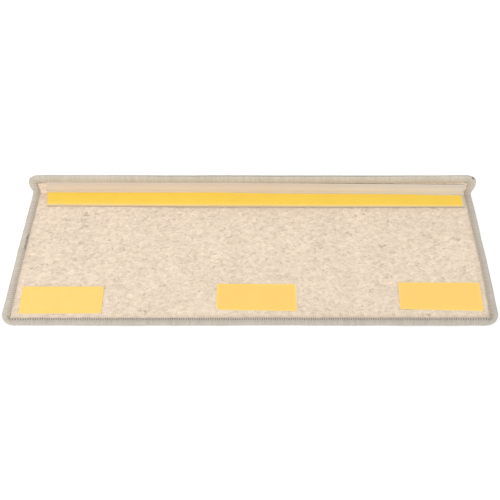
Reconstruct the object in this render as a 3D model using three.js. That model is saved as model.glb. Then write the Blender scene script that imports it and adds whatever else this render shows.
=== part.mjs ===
// Stair tread mat with a nose, shown the way it is handled before fitting: it lies on its pile,
// with the felt backing up and the nose standing at the back. The carpet is one folded sheet of two
// bonded plies, whipped with yarn all round. A plastic angle stiffens the fold, and self-adhesive
// tapes with release liners hold the mat to the step.
// Units are millimetres. X runs along the step, +Y towards the nose, +Z up from the surface that the
// pile rests on. The origin is the middle of the mat's footprint.
import * as THREE from "three";

// Overall size of the finished mat, whipping included
const MAT_WIDTH = 650;
const TREAD_DEPTH = 240;
const NOSE_HEIGHT = 38;

// The carpet's two plies and its fold
const PILE_THICKNESS = 2.5;
const FELT_THICKNESS = 2.5;
const FOLD_INNER_RADIUS = 4;
const FOLD_STEPS = 8;

// Corners: rounded at the outside of the whipping, and nearly square at its inner edge
const FRONT_CORNER_RADIUS = 20;
const NOSE_CORNER_RADIUS = 15;
const INNER_CORNER_RADIUS = 3;
const CORNER_STEPS = 8;

// Whipping: yarn wound over the sheet's edge, which it squeezes
const WHIP_WIDTH = 11.5;
const WHIP_EDGE = 1.4;
const WHIP_RISE = 1;
const WHIP_ROUNDING = 3.2;
const WHIP_TIP_DROP = 0.9;
const WHIP_ARC_STEPS = 5;
const PILE_SQUEEZE = 1;
const FELT_SQUEEZE = 0.3;
const SQUEEZE_SLOPE = 2;

// Plastic angle in the fold, with the felt that shows at its ends and above it, and the two tapes that
// bond it to the felt
const ANGLE_TREAD_LEG = 31;
const ANGLE_THICKNESS = 1.5;
const ANGLE_LEFT_CLEARANCE = 12.5;
const ANGLE_RIGHT_CLEARANCE = 2;
const ANGLE_TOP_CLEARANCE = 1.2;
const ANGLE_ARC_STEPS = 6;
const ANGLE_EDGE_ROUNDING = 0.5;
const ANGLE_EDGE_STEPS = 2;
const BOND_THICKNESS = 0.3;
const BOND_MARGIN = 1.5;

// Self-adhesive strip along the angle's tread leg
const STRIP_EDGE_MARGIN = 0.4;
const STRIP_END_MARGIN = 1;

// Self-adhesive pads along the front, cut and laid by hand: each has its clearance from the whipping at
// its side (the middle one its offset from the middle of the mat), the depth of felt in front of it, the
// slopes of its front and back edges in degrees, and how far its front edge is shifted to the right
const PAD_WIDTH = 106;
const PAD_DEPTH = 43.5;
const LEFT_PAD = { clearance: 11, front: 5, frontSlope: 0.5, backSlope: 0, shift: 2.5 };
const MIDDLE_PAD = { offset: 8, front: 9.7, frontSlope: -0.8, backSlope: 0, shift: 0.4 };
const RIGHT_PAD = { clearance: 9.5, front: 10.3, frontSlope: -2.4, backSlope: 0, shift: -3 };

// Both tapes are an adhesive layer under a release liner
const TAPE_THICKNESS = 0.45;
const LINER_THICKNESS = 0.15;

// Sizes that follow from those above
const CARPET_THICKNESS = PILE_THICKNESS + FELT_THICKNESS;
const WHIP_TOP = CARPET_THICKNESS + WHIP_RISE;
const FOLD_RADIUS = FOLD_INNER_RADIUS + CARPET_THICKNESS;
const FOLD_START_Y = TREAD_DEPTH / 2 - FOLD_RADIUS;
const FLAT_LENGTH = TREAD_DEPTH - FOLD_RADIUS;
const FOLD_LENGTH = (Math.PI / 2) * (FOLD_RADIUS - CARPET_THICKNESS / 2);
const UPRIGHT_LENGTH = NOSE_HEIGHT - FOLD_RADIUS;
const SHEET_LENGTH = FLAT_LENGTH + FOLD_LENGTH + UPRIGHT_LENGTH;
const SQUEEZED_TOP = CARPET_THICKNESS - FELT_SQUEEZE;
const WHIP_INNER_X = MAT_WIDTH / 2 - WHIP_WIDTH;
const WHIP_INNER_Y = WHIP_WIDTH - TREAD_DEPTH / 2;
const ANGLE_LEFT = ANGLE_LEFT_CLEARANCE - WHIP_INNER_X;
const ANGLE_RIGHT = WHIP_INNER_X - ANGLE_RIGHT_CLEARANCE;
const ANGLE_BOTTOM = CARPET_THICKNESS + BOND_THICKNESS;
const ANGLE_LEG_TOP = ANGLE_BOTTOM + ANGLE_THICKNESS;
const ANGLE_BACK = FOLD_START_Y + FOLD_INNER_RADIUS - BOND_THICKNESS;
const ANGLE_FRONT = ANGLE_BACK - ANGLE_THICKNESS;
const ANGLE_FREE_EDGE = ANGLE_BACK - ANGLE_TREAD_LEG;
const ANGLE_NOSE_TOP = NOSE_HEIGHT - WHIP_WIDTH - ANGLE_TOP_CLEARANCE;

// Colours as the eye sees them
const FELT_COLOUR = 0xecdcc4;
const PILE_COLOUR = 0xb9ad9c;
const YARN_COLOUR = 0xc3b7a5;
const ANGLE_COLOUR = 0xe5cdb2;
const BOND_COLOUR = 0xf2efe6;
const TAPE_COLOUR = 0xf3ecd2;
const STRIP_LINER_COLOUR = 0xfed054;
const PAD_LINER_COLOUR = 0xfed578;

// A point of the sheet, given by its place across (x), along from the front edge (s) and above the pile's
// face (n), carried to where the fold puts it: level on the tread, then round the fold, then up the nose.
function folded(x, s, n) {
  const radius = FOLD_RADIUS - n;
  if (s <= FLAT_LENGTH) return [x, s - TREAD_DEPTH / 2, n];
  if (s >= FLAT_LENGTH + FOLD_LENGTH) {
    return [x, FOLD_START_Y + radius, FOLD_RADIUS + s - FLAT_LENGTH - FOLD_LENGTH];
  }
  const turn = ((s - FLAT_LENGTH) / FOLD_LENGTH) * (Math.PI / 2);
  return [x, FOLD_START_Y + radius * Math.sin(turn), FOLD_RADIUS - radius * Math.cos(turn)];
}

// Right-hand side of the sheet's outline at an inset from the outside of the whipping, as [x, s] points
// from the front edge round the front corner, up the side with a point at each step of the fold, and
// round the nose's corner to its top edge.
function sideChain(inset) {
  const side = MAT_WIDTH / 2 - inset;
  const inward = Math.min(inset / WHIP_WIDTH, 1);
  const cornerRadius = (outer) => THREE.MathUtils.lerp(outer, INNER_CORNER_RADIUS, inward);
  const points = [];
  const corner = (radius, s, from) => {
    for (let i = 0; i <= CORNER_STEPS; i++) {
      const angle = from + (i / CORNER_STEPS) * (Math.PI / 2);
      points.push([side - radius + radius * Math.cos(angle), s + radius * Math.sin(angle)]);
    }
  };
  const frontRadius = cornerRadius(FRONT_CORNER_RADIUS);
  corner(frontRadius, inset + frontRadius, -Math.PI / 2);
  for (let i = 0; i <= FOLD_STEPS; i++) {
    points.push([side, FLAT_LENGTH + (i / FOLD_STEPS) * FOLD_LENGTH]);
  }
  const noseRadius = cornerRadius(Math.min(NOSE_CORNER_RADIUS, UPRIGHT_LENGTH));
  corner(noseRadius, SHEET_LENGTH - inset - noseRadius, 0);
  return points;
}

// The whole outline at an inset, as [x, s] points that run anticlockwise seen from the felt side.
function outline(inset) {
  const right = sideChain(inset);
  const left = right.map(([x, s]) => [-x, s]).reverse();
  return [...right, ...left];
}

// A mesh geometry under construction: named corner points once each, and triangles between them.
class Builder {
  constructor() {
    this.positions = [];
    this.indices = [];
  }
  point(p) {
    this.positions.push(...p);
    return this.positions.length / 3 - 1;
  }
  // A loop of folded points at one inset and one height in the sheet
  loop(inset, n) {
    return outline(inset).map(([x, s]) => this.point(folded(x, s, n)));
  }
  quad(a, b, c, d) {
    this.indices.push(a, b, c, a, c, d);
  }
  // Joins two loops of equal length by a band that faces left of the way the loops run
  band(from, to) {
    for (let i = 0; i < from.length; i++) {
      const next = (i + 1) % from.length;
      this.quad(from[i], from[next], to[next], to[i]);
    }
  }
  // Fills a loop with level strips between its right-hand and left-hand halves
  fill(loop, facesFelt) {
    const half = loop.length / 2;
    for (let i = 0; i < half - 1; i++) {
      const [rightA, rightB] = [loop[i], loop[i + 1]];
      const [leftA, leftB] = [loop[loop.length - 1 - i], loop[loop.length - 2 - i]];
      if (facesFelt) this.quad(leftA, rightA, rightB, leftB);
      else this.quad(leftA, leftB, rightB, rightA);
    }
  }
  geometry() {
    const made = new THREE.BufferGeometry();
    made.setAttribute("position", new THREE.Float32BufferAttribute(this.positions, 3));
    made.setIndex(this.indices);
    const faceted = made.toNonIndexed();
    faceted.computeVertexNormals();
    return faceted;
  }
}

// Walking ply: its face is level, and it is squeezed up where the whipping passes under its edge.
function pileGeometry() {
  const builder = new Builder();
  const top = builder.loop(WHIP_EDGE, PILE_THICKNESS);
  const edge = builder.loop(WHIP_EDGE, PILE_SQUEEZE);
  const lip = builder.loop(WHIP_WIDTH, PILE_SQUEEZE);
  const face = builder.loop(WHIP_WIDTH + SQUEEZE_SLOPE, 0);
  builder.fill(top, true);
  builder.band(edge, top);
  builder.band(lip, edge);
  builder.band(face, lip);
  builder.fill(face, false);
  return builder.geometry();
}

// Backing ply: bonded to the walking ply all over, and squeezed down under the whipping.
function feltGeometry() {
  const builder = new Builder();
  const bottom = builder.loop(WHIP_EDGE, PILE_THICKNESS);
  const edge = builder.loop(WHIP_EDGE, SQUEEZED_TOP);
  const lip = builder.loop(WHIP_WIDTH, SQUEEZED_TOP);
  const face = builder.loop(WHIP_WIDTH + SQUEEZE_SLOPE, CARPET_THICKNESS);
  builder.fill(bottom, false);
  builder.band(bottom, edge);
  builder.band(edge, lip);
  builder.band(lip, face);
  builder.fill(face, true);
  return builder.geometry();
}

// Section of the whipping as [inset, n] points, anticlockwise with the inset running to the right: a
// flattened round outside, and inside it the channel that holds the squeezed edge.
function whipSection() {
  const points = [];
  const middle = WHIP_TOP / 2;
  points.push([WHIP_WIDTH, SQUEEZED_TOP]);
  points.push([WHIP_WIDTH - WHIP_TIP_DROP / 2, WHIP_TOP - WHIP_TIP_DROP / 2]);
  points.push([WHIP_WIDTH - 2 * WHIP_TIP_DROP, WHIP_TOP]);
  for (let i = 0; i <= 2 * WHIP_ARC_STEPS; i++) {
    const angle = (i / (2 * WHIP_ARC_STEPS)) * Math.PI;
    points.push([WHIP_ROUNDING * (1 - Math.sin(angle)), middle + middle * Math.cos(angle)]);
  }
  points.push([WHIP_WIDTH - 2 * WHIP_TIP_DROP, 0]);
  points.push([WHIP_WIDTH - WHIP_TIP_DROP / 2, PILE_SQUEEZE / 2]);
  points.push([WHIP_WIDTH, PILE_SQUEEZE]);
  points.push([WHIP_EDGE, PILE_SQUEEZE]);
  points.push([WHIP_EDGE, SQUEEZED_TOP]);
  return points;
}

function whipGeometry() {
  const builder = new Builder();
  const loops = whipSection().map(([inset, n]) => builder.loop(inset, n));
  loops.forEach((loop, i) => builder.band(loops[(i + 1) % loops.length], loop));
  return builder.geometry();
}

// An outline of [y, z] points carried along X between two ends.
function alongStep(points, left, right) {
  const shape = new THREE.Shape(points.map(([y, z]) => new THREE.Vector2(y, z)));
  const made = new THREE.ExtrudeGeometry(shape, { depth: right - left, bevelEnabled: false });
  // The extrusion's own X, Y and Z become the part's Y, Z and X
  made.applyMatrix4(new THREE.Matrix4().set(0, 0, 1, left, 1, 0, 0, 0, 0, 1, 0, 0, 0, 0, 0, 1));
  return made;
}

// A slab of [x, y] corners that lies level between two heights.
function slab(corners, bottom, thickness) {
  const shape = new THREE.Shape(corners.map(([x, y]) => new THREE.Vector2(x, y)));
  const made = new THREE.ExtrudeGeometry(shape, { depth: thickness, bevelEnabled: false });
  made.translate(0, 0, bottom);
  return made;
}

// Points of a quarter arc about a centre, from one angle to another in degrees.
function arc(y, z, radius, from, to, steps) {
  const points = [];
  for (let i = 0; i <= steps; i++) {
    const angle = THREE.MathUtils.degToRad(from + (i / steps) * (to - from));
    points.push([y + radius * Math.cos(angle), z + radius * Math.sin(angle)]);
  }
  return points;
}

// Plastic angle: its outside follows the fold, a bond's thickness away from the felt.
function angleGeometry() {
  const outer = FOLD_INNER_RADIUS - BOND_THICKNESS;
  const inner = outer - ANGLE_THICKNESS;
  const round = ANGLE_EDGE_ROUNDING;
  const points = [
    [ANGLE_FREE_EDGE, ANGLE_BOTTOM],
    ...arc(FOLD_START_Y, FOLD_RADIUS, outer, -90, 0, ANGLE_ARC_STEPS),
    [ANGLE_BACK, ANGLE_NOSE_TOP],
    ...arc(ANGLE_FRONT + round, ANGLE_NOSE_TOP - round, round, 90, 180, ANGLE_EDGE_STEPS),
    ...arc(FOLD_START_Y, FOLD_RADIUS, inner, 0, -90, ANGLE_ARC_STEPS),
    ...arc(ANGLE_FREE_EDGE + round, ANGLE_LEG_TOP - round, round, 90, 180, ANGLE_EDGE_STEPS),
  ];
  return alongStep(points, ANGLE_LEFT, ANGLE_RIGHT);
}

// Tape between the angle's tread leg and the felt
function treadBondGeometry() {
  const left = ANGLE_LEFT + BOND_MARGIN;
  const right = ANGLE_RIGHT - BOND_MARGIN;
  const front = ANGLE_FREE_EDGE + BOND_MARGIN;
  const corners = [[left, front], [right, front], [right, FOLD_START_Y], [left, FOLD_START_Y]];
  return slab(corners, CARPET_THICKNESS, BOND_THICKNESS);
}

// Tape between the angle's nose leg and the felt
function noseBondGeometry() {
  const back = ANGLE_BACK + BOND_THICKNESS;
  const top = ANGLE_NOSE_TOP - BOND_MARGIN;
  const points = [[ANGLE_BACK, FOLD_RADIUS], [back, FOLD_RADIUS], [back, top], [ANGLE_BACK, top]];
  return alongStep(points, ANGLE_LEFT + BOND_MARGIN, ANGLE_RIGHT - BOND_MARGIN);
}

// Corners of the strip, which covers the flat of the angle's tread leg
function stripCorners() {
  const left = ANGLE_LEFT + STRIP_END_MARGIN;
  const right = ANGLE_RIGHT - STRIP_END_MARGIN;
  const front = ANGLE_FREE_EDGE + ANGLE_EDGE_ROUNDING + STRIP_EDGE_MARGIN;
  const back = FOLD_START_Y - STRIP_EDGE_MARGIN;
  return [[left, front], [right, front], [right, back], [left, back]];
}

// Corners of one pad about its middle, from its front left-hand corner anticlockwise
function padCorners(middleX, { front, frontSlope, backSlope, shift }) {
  const middleY = WHIP_INNER_Y + front + PAD_DEPTH / 2;
  const corner = (side, end, slope) => {
    const x = side * PAD_WIDTH / 2;
    const rise = x * Math.tan(THREE.MathUtils.degToRad(slope));
    return [middleX + x - end * shift / 2, middleY + end * PAD_DEPTH / 2 + rise];
  };
  return [
    corner(-1, -1, frontSlope),
    corner(1, -1, frontSlope),
    corner(1, 1, backSlope),
    corner(-1, 1, backSlope),
  ];
}

function finish(colour, roughness) {
  return new THREE.MeshStandardMaterial({ color: colour, roughness, metalness: 0 });
}

const mat = new THREE.Group();

function add(name, geometry, material) {
  const mesh = new THREE.Mesh(geometry, material);
  mesh.name = name;
  mat.add(mesh);
}

// An adhesive layer and its release liner over the same corners
function addTape(name, corners, bottom, linerColour) {
  add(`${name}_tape`, slab(corners, bottom, TAPE_THICKNESS), finish(TAPE_COLOUR, 0.5));
  const linerBottom = bottom + TAPE_THICKNESS;
  add(`${name}_liner`, slab(corners, linerBottom, LINER_THICKNESS), finish(linerColour, 0.45));
}

add("pile_carpet", pileGeometry(), finish(PILE_COLOUR, 0.95));
add("felt_backing", feltGeometry(), finish(FELT_COLOUR, 0.95));
add("edge_whipping", whipGeometry(), finish(YARN_COLOUR, 0.85));
add("nosing_angle", angleGeometry(), finish(ANGLE_COLOUR, 0.4));
add("angle_bond_tread", treadBondGeometry(), finish(BOND_COLOUR, 0.6));
add("angle_bond_nose", noseBondGeometry(), finish(BOND_COLOUR, 0.6));
addTape("strip", stripCorners(), ANGLE_LEG_TOP, STRIP_LINER_COLOUR);
function addPad(name, middleX, pad) {
  addTape(`pad_${name}`, padCorners(middleX, pad), CARPET_THICKNESS, PAD_LINER_COLOUR);
}

addPad("left", LEFT_PAD.clearance + PAD_WIDTH / 2 - WHIP_INNER_X, LEFT_PAD);
addPad("middle", MIDDLE_PAD.offset, MIDDLE_PAD);
addPad("right", WHIP_INNER_X - RIGHT_PAD.clearance - PAD_WIDTH / 2, RIGHT_PAD);

export default mat;
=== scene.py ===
"""A carpet stair tread mat, lying on its pile with its felt backing up and its nose standing behind.

The carpet is described flat, before it is folded: x runs across it, s runs from its front edge to the top
edge of its nose, and n is the height above its pile's face. One function then folds these three into
place, so the felt, the pile, the whipping and the loose fibres all follow the same bend.
"""

import bpy
import numpy as np
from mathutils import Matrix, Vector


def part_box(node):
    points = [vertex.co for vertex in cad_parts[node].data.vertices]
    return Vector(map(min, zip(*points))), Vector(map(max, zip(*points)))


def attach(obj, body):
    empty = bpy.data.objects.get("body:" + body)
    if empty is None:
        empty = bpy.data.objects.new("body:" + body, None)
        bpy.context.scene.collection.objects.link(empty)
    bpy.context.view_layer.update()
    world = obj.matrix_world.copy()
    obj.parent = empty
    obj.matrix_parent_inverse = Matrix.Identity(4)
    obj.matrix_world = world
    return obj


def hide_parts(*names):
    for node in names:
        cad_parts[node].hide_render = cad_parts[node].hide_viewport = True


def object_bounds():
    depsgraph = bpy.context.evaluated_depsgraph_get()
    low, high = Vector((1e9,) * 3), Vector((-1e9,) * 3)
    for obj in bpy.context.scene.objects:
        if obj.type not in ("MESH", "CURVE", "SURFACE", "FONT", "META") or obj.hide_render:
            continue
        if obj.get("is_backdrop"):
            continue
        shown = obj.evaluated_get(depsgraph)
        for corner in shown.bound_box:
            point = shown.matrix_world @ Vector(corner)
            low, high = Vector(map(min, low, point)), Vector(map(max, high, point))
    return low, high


bl_info = {
    "name": "Stair Tread Mat",
    "version": (1, 0, 0),
    "blender": (4, 5, 0),
    "location": "View3D > Sidebar > Tread Mat",
    "description": "Builds a whipped carpet stair mat, felt side up, with its nose and its adhesive pads",
    "category": "Add Mesh",
}

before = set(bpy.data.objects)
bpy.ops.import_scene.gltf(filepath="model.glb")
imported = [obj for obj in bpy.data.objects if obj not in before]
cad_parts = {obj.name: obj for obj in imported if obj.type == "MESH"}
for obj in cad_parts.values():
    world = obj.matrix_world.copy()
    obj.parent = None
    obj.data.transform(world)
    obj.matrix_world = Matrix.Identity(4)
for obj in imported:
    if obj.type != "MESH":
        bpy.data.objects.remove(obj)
CAD_LOW, CAD_HIGH = (np.array(corner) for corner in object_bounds())

MM = 0.001
BODY = "root"
QUARTER_TURN = np.pi / 2

# Edges that bend by more than this are shaded as sharp
SHARP_DEGREES = 40

# The photograph's camera: where it stands, how far it looks down, and its lens in the picture's pixels
EYE_MM = (15.4, -660.8, 815.3)
LOOK_DOWN_DEGREES = 50.64
LENS_PIXELS = 753.2
PICTURE_PIXELS = 500
CENTRE_PIXEL_ACROSS = 262.3
SENSOR_MM = 36

# The level of the sky, a broad lamp in front of the mat and a little to the left, and the floor's size,
# glow and tone
SKY_STRENGTH = 0.885
LAMP_WATTS = 19.0
LAMP_SIZE = 1.6
LAMP_PLACE = (-0.6, -2.0, 1.15)
FLOOR_SIZE = 30.0
FLOOR_GLOW = 0.32
FLOOR_TONE = 0.86


def colour(red, green, blue):
    """Linear colour of a screen colour given from 0 to 255, by the standard screen curve."""
    screen = np.array([red, green, blue]) / 255
    linear = np.where(screen <= 0.04045, screen / 12.92, ((screen + 0.055) / 1.055) ** 2.4)
    return tuple(float(value) for value in linear)


def size_property(name, description, millimetres):
    return bpy.props.FloatProperty(
        name=name, description=description, default=millimetres * MM, min=0, precision=4, unit="LENGTH"
    )


def colour_property(name, description, *screen):
    return bpy.props.FloatVectorProperty(
        name=name, description=description, default=colour(*screen), min=0, max=1, subtype="COLOR"
    )


def ease(value, low, high):
    """0 below low, 1 above high, and a smooth cubic between."""
    share = np.clip((value - low) / (high - low), 0, 1)
    return share * share * (3 - 2 * share)


# How many heights the hills' table holds each way
HILL_POINTS = 512


def hills(x, s, grain, seed):
    """Smooth random relief from -1 to 1: random heights on a square lattice of the grain's size, eased
    from one lattice point to the next both ways."""
    table = np.random.default_rng(seed).uniform(-1, 1, (HILL_POINTS, HILL_POINTS))
    u, v = np.broadcast_arrays(x / grain, s / grain)
    i, j = np.floor(u).astype(int), np.floor(v).astype(int)
    f, g = ease(u - i, 0, 1), ease(v - j, 0, 1)
    corner = [[table[(i + a) % HILL_POINTS, (j + b) % HILL_POINTS] for b in (0, 1)] for a in (0, 1)]
    near, far = (row[0] * (1 - g) + row[1] * g for row in corner)
    return near * (1 - f) + far * f


class TreadMatSizes(bpy.types.PropertyGroup):
    """Sizes of the mat that the frame's boxes don't give"""

    carpet_thickness: size_property("Carpet", "Thickness of the pile and the felt together", 5)
    pile_thickness: size_property("Pile", "Thickness of the walking ply", 2.5)
    fold_radius: size_property("Fold", "Radius of the felt inside the fold", 4)
    front_corner: size_property("Front corners", "Outer radius of the two front corners", 19.6)
    nose_corner: size_property("Nose corners", "Outer radius of the nose's two corners", 15.6)
    inner_corner: size_property("Inner corners", "Radius of the whipping's inner corners", 3)
    whip_width: size_property("Whipping", "Width of the whipping on either face", 10.4)
    whip_height: size_property("Whipping height", "Thickness of the whipped edge", 6)
    whip_edge: size_property("Yarn at the edge", "Yarn outside the carpet's cut edge", 1.4)
    side_extra: size_property("Side whipping", "Extra width of the whipping on the sides", 0.85)
    left_extra: size_property("Left whipping", "Further width of the whipping on the left-hand side", 0.5)
    corner_extra: size_property("Corner whipping", "Extra width of the sides' whipping at the front", 1.3)
    nose_extra: size_property("Nose whipping", "Extra width of the whipping round the nose", 2.1)
    nose_overlap: size_property("Nose overlap", "Further width of it, except at the right-hand end", 0.9)
    wrap_pitch: size_property("Wraps", "Distance from one turn of yarn to the next", 2.9)
    wrap_groove: size_property("Grooves", "Depth of the grooves between the turns of yarn", 0.5)
    whip_waver: size_property("Waver", "How far the whipped edge wavers in and out", 0.45)
    side_draw: size_property("Side draw", "How far the right-hand side is drawn in at the front", 1.65)
    fold_draw: size_property("Fold draw", "How far the right-hand side is drawn in at the fold", 0.5)
    nose_flare: size_property("Nose flare", "How far the nose's ends spread outwards", 3.0)
    nose_sag: size_property("Nose sag", "How far the middle of the nose's top edge hangs", 1.1)
    fold_skew: size_property("Fold skew", "How far the fold is turned, at the mat's ends", 2.6)
    fold_bow: size_property("Fold bow", "How far the fold is bowed, at the mat's ends", 1.2)
    felt_relief: size_property("Felt relief", "Height of the felt's unevenness", 0.3)
    loop_pitch: size_property("Loops", "Distance between the loops of the pile", 5)
    loop_depth: size_property("Loop depth", "Depth of the hollows between the loops", 1.1)
    fibre_count: bpy.props.IntProperty(
        name="Fibres", description="Number of loose fibres on the felt", default=4600, min=0
    )


class TreadMatColours(bpy.types.PropertyGroup):
    """Colours of the mat's finishes"""

    felt: colour_property("Felt", "Cream of the felt", 242, 222, 200)
    fleck: colour_property("Flecks", "Taupe of the felt's flecks", 156, 138, 123)
    yarn: colour_property("Yarn", "Whipping yarn at the edge", 203, 195, 182)
    # Darker stitches near the felt, together with painted shade where the yarn meets the felt
    yarn_inner: colour_property("Inner yarn", "Whipping yarn near the felt", 197, 183, 165)
    # Painted shade in the hollows between the turns
    yarn_dark: colour_property("Yarn hollows", "Hollows between the turns", 88, 76, 62)
    # Painted shade in the needle holes and the open gap
    needle_hole: colour_property("Needle holes", "Holes between the ends of the turns", 48, 41, 34)
    pile: colour_property("Pile", "Lighter loops of the walking face", 196, 184, 168)
    pile_dark: colour_property("Pile shade", "Darker loops of the walking face", 158, 145, 129)
    angle: colour_property("Angle", "Plastic angle in the fold", 219, 205, 194)
    # Painted shade along the angle's free edge
    angle_edge: colour_property("Angle edge", "Soiled free edge of the angle", 192, 171, 131)
    strip: colour_property("Strip", "Release paper of the long strip", 255, 215, 81)
    # A painted highlight along the strip's front edge
    strip_edge: colour_property("Strip edge", "Paler front edge of the long strip", 253, 222, 140)
    strip_tape: colour_property("Strip tape", "Adhesive under the long strip", 236, 205, 112)
    left_pad: colour_property("Left pad", "Release paper of the left-hand pad", 255, 214, 117)
    pad: colour_property("Pads", "Release paper of the other two pads", 255, 207, 109)
    pad_edge: colour_property("Pad edges", "Yellower edges of the pads", 255, 213, 98)
    adhesive: colour_property("Adhesive", "Edges of the adhesive tapes", 243, 234, 205)


class Carpet:
    """Measures of the carpet before it is folded, worked out from the frame's box and the mat's sizes."""

    # Stretches over which a shape eases in or out. Along the carpet they are counted from its front edge,
    # from the start of its fold or back from the nose's top edge, and across it from a side or the middle.
    DRAW_FROM_FRONT = (15 * MM, 110 * MM)
    DRAW_FROM_FOLD = (0, 30 * MM)
    FLARE_FROM_FOLD = (4 * MM, 17 * MM)
    FLARE_FROM_SIDE = (0, 17 * MM)
    SAG_BEGINS = (-195 * MM, -110 * MM)
    SAG_ENDS = (262 * MM, 305 * MM)
    CORNER_YARN_FROM_FRONT = (15 * MM, 70 * MM)
    NOSE_YARN_FROM_FOLD = (-6 * MM, 14 * MM)
    NOSE_YARN_FROM_TOP = (3 * MM, 16 * MM)
    OVERLAP_ENDS = (150 * MM, 290 * MM)
    SIDE_BAND = (15 * MM, 40 * MM)
    CORNER_BLEND = (-12 * MM, 12 * MM)
    CORNER_REACH = 45 * MM
    YARN_OVERHANG = 0.5 * MM

    # How much the left-hand side takes of the front's draw, and the nose's ends of the sides' extra width
    LEFT_DRAW_SHARE = 0.3
    NOSE_END_SHARE = 0.6

    def __init__(self, sizes):
        self.sizes = sizes
        self.half_width = CAD_HIGH[0]
        self.radius = sizes.fold_radius + sizes.carpet_thickness
        self.flat_length = CAD_HIGH[1] - CAD_LOW[1] - self.radius
        self.fold_length = QUARTER_TURN * (self.radius - sizes.carpet_thickness / 2)
        self.length = self.flat_length + self.fold_length + CAD_HIGH[2] - self.radius

    def corner_radii(self, inset):
        """Front and nose corner radii of the loop at an inset: they shrink evenly to the inner radius."""
        inward = np.clip(inset / self.sizes.whip_width, 0, 1)
        inner, outers = self.sizes.inner_corner, (self.sizes.front_corner, self.sizes.nose_corner)
        return [outer + (inner - outer) * inward for outer in outers]

    def fold_shift(self, x):
        """How much nearer to the front the fold lies than it is drawn: the mat was folded a little askew,
        by a straight line and a square term across it."""
        share = x / self.half_width
        return self.sizes.fold_skew * share + self.sizes.fold_bow * share**2

    def settled(self, x, s):
        """x of points of the sheet as it really lies. The nose's ends spread outwards along their very edge,
        and the right-hand side is drawn in a little at the fold, and more at the front."""
        sizes = self.sizes
        share = x / self.half_width
        past_fold = s - self.flat_length
        from_side = self.half_width - abs(x)
        on_end = ease(past_fold, *self.FLARE_FROM_FOLD) * (1 - ease(from_side, *self.FLARE_FROM_SIDE))
        at_front = (1 - ease(s, *self.DRAW_FROM_FRONT)) * np.where(share > 0, 1, self.LEFT_DRAW_SHARE)
        at_fold = (1 - ease(abs(past_fold), *self.DRAW_FROM_FOLD)) * (share > 0)
        drawn = share * (sizes.side_draw * at_front + sizes.fold_draw * at_fold)
        return x + np.sign(x) * sizes.nose_flare * on_end - drawn

    def yarn_width(self, x, s):
        """Width of the whipping near a place. It takes in more of the sides, most of all the left-hand one
        and towards the front corners. It is wider along the nose's top edge, except at its right-hand end,
        and nearly keeps the sides' width up the nose's two ends."""
        sizes = self.sizes
        at_corner = 1 - ease(s, *self.CORNER_YARN_FROM_FRONT)
        side_extra = sizes.side_extra + sizes.left_extra * (x < 0) + sizes.corner_extra * at_corner
        nose_extra = sizes.nose_extra + sizes.nose_overlap * (1 - ease(x, *self.OVERLAP_ENDS))
        on_nose = ease(s - self.flat_length, *self.NOSE_YARN_FROM_FOLD)
        on_side = self.on_side(x, s)
        on_end = on_nose * on_side * ease(self.length - s, *self.NOSE_YARN_FROM_TOP)
        side_share = on_side * (1 - on_nose) + self.NOSE_END_SHARE * on_end
        return sizes.whip_width + side_extra * side_share + nose_extra * (on_nose - on_end)

    def on_side(self, x, s):
        """1 along the sides, and 0 along the front, along the nose's top edge and inside the mat"""
        from_side = self.half_width - abs(x)
        return ease(s - from_side, *self.CORNER_BLEND) * (1 - ease(from_side, *self.SIDE_BAND))

    def folded(self, x, s, n):
        """Places in the frame of points given flat. Up to the fold they lie level. In the fold they turn
        on an arc about its centre line, whose radius is the fold's outer radius less n, and past it they
        climb the nose by what is left of s, and by a little less where its top edge hangs."""
        x, s, n = np.broadcast_arrays(x, s, n)
        flat_length = self.flat_length - self.fold_shift(x)
        radius = self.radius - n
        turn = QUARTER_TURN * np.clip((s - flat_length) / self.fold_length, 0, 1)
        climb = np.maximum(s - flat_length - self.fold_length, 0)
        hanging = ease(x, *self.SAG_BEGINS) * (1 - ease(x, *self.SAG_ENDS))
        climb = climb * (1 - self.sizes.nose_sag / CAD_HIGH[2] * hanging)
        y = CAD_LOW[1] + np.minimum(s, flat_length) + radius * np.sin(turn)
        places = [self.settled(x, s), y, self.radius - radius * np.cos(turn) + climb]
        return np.stack(places, axis=-1).reshape(-1, 3)

    def half_rim(self):
        """Lengths along the outer edge, from the middle of the front to the end of each stretch: the front,
        its corner, the side, the nose's corner, and half the nose's top edge."""
        sizes = self.sizes
        stretches = [
            self.half_width - sizes.front_corner,
            QUARTER_TURN * sizes.front_corner,
            self.length - sizes.front_corner - sizes.nose_corner,
            QUARTER_TURN * sizes.nose_corner,
            self.half_width - sizes.nose_corner,
        ]
        return np.cumsum(stretches)

    def rim(self, along, inset):
        """x and s of points round the sheet. along is the distance round the outer edge from the middle of
        the front, negative to the left. It is split over the five stretches. On the straight ones an inner
        point goes along with its outer one, and near a corner it runs ahead by the length that the tighter
        inner corner spares. Corners move it by the sine and cosine of their quarter turn."""
        sizes = self.sizes
        ends = self.half_rim()
        starts = np.concatenate([[0], ends[:-1]])
        gone = [np.clip(abs(along) - start, 0, end - start) for start, end in zip(starts, ends)]
        left = [end - start - part for part, start, end in zip(gone, starts, ends)]
        front, nose = self.corner_radii(inset)
        front_spare, nose_spare = sizes.front_corner - inset - front, sizes.nose_corner - inset - nose
        front_turn, nose_turn = gone[1] / sizes.front_corner, gone[3] / sizes.nose_corner
        x = gone[0] + front_spare * self.near(left[0]) + front * np.sin(front_turn)
        x = x - nose * (1 - np.cos(nose_turn)) - gone[4] - nose_spare * (1 - self.near(gone[4]))
        s = inset + front * (1 - np.cos(front_turn)) + nose * np.sin(nose_turn)
        s = s + gone[2] + front_spare * (1 - self.near(gone[2])) + nose_spare * self.near(left[2])
        return np.sign(along) * x, s

    def near(self, distance):
        """1 at a corner, falling to 0 by a square at the corner's reach"""
        return np.clip(1 - distance / self.CORNER_REACH, 0, 1) ** 2

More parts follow.
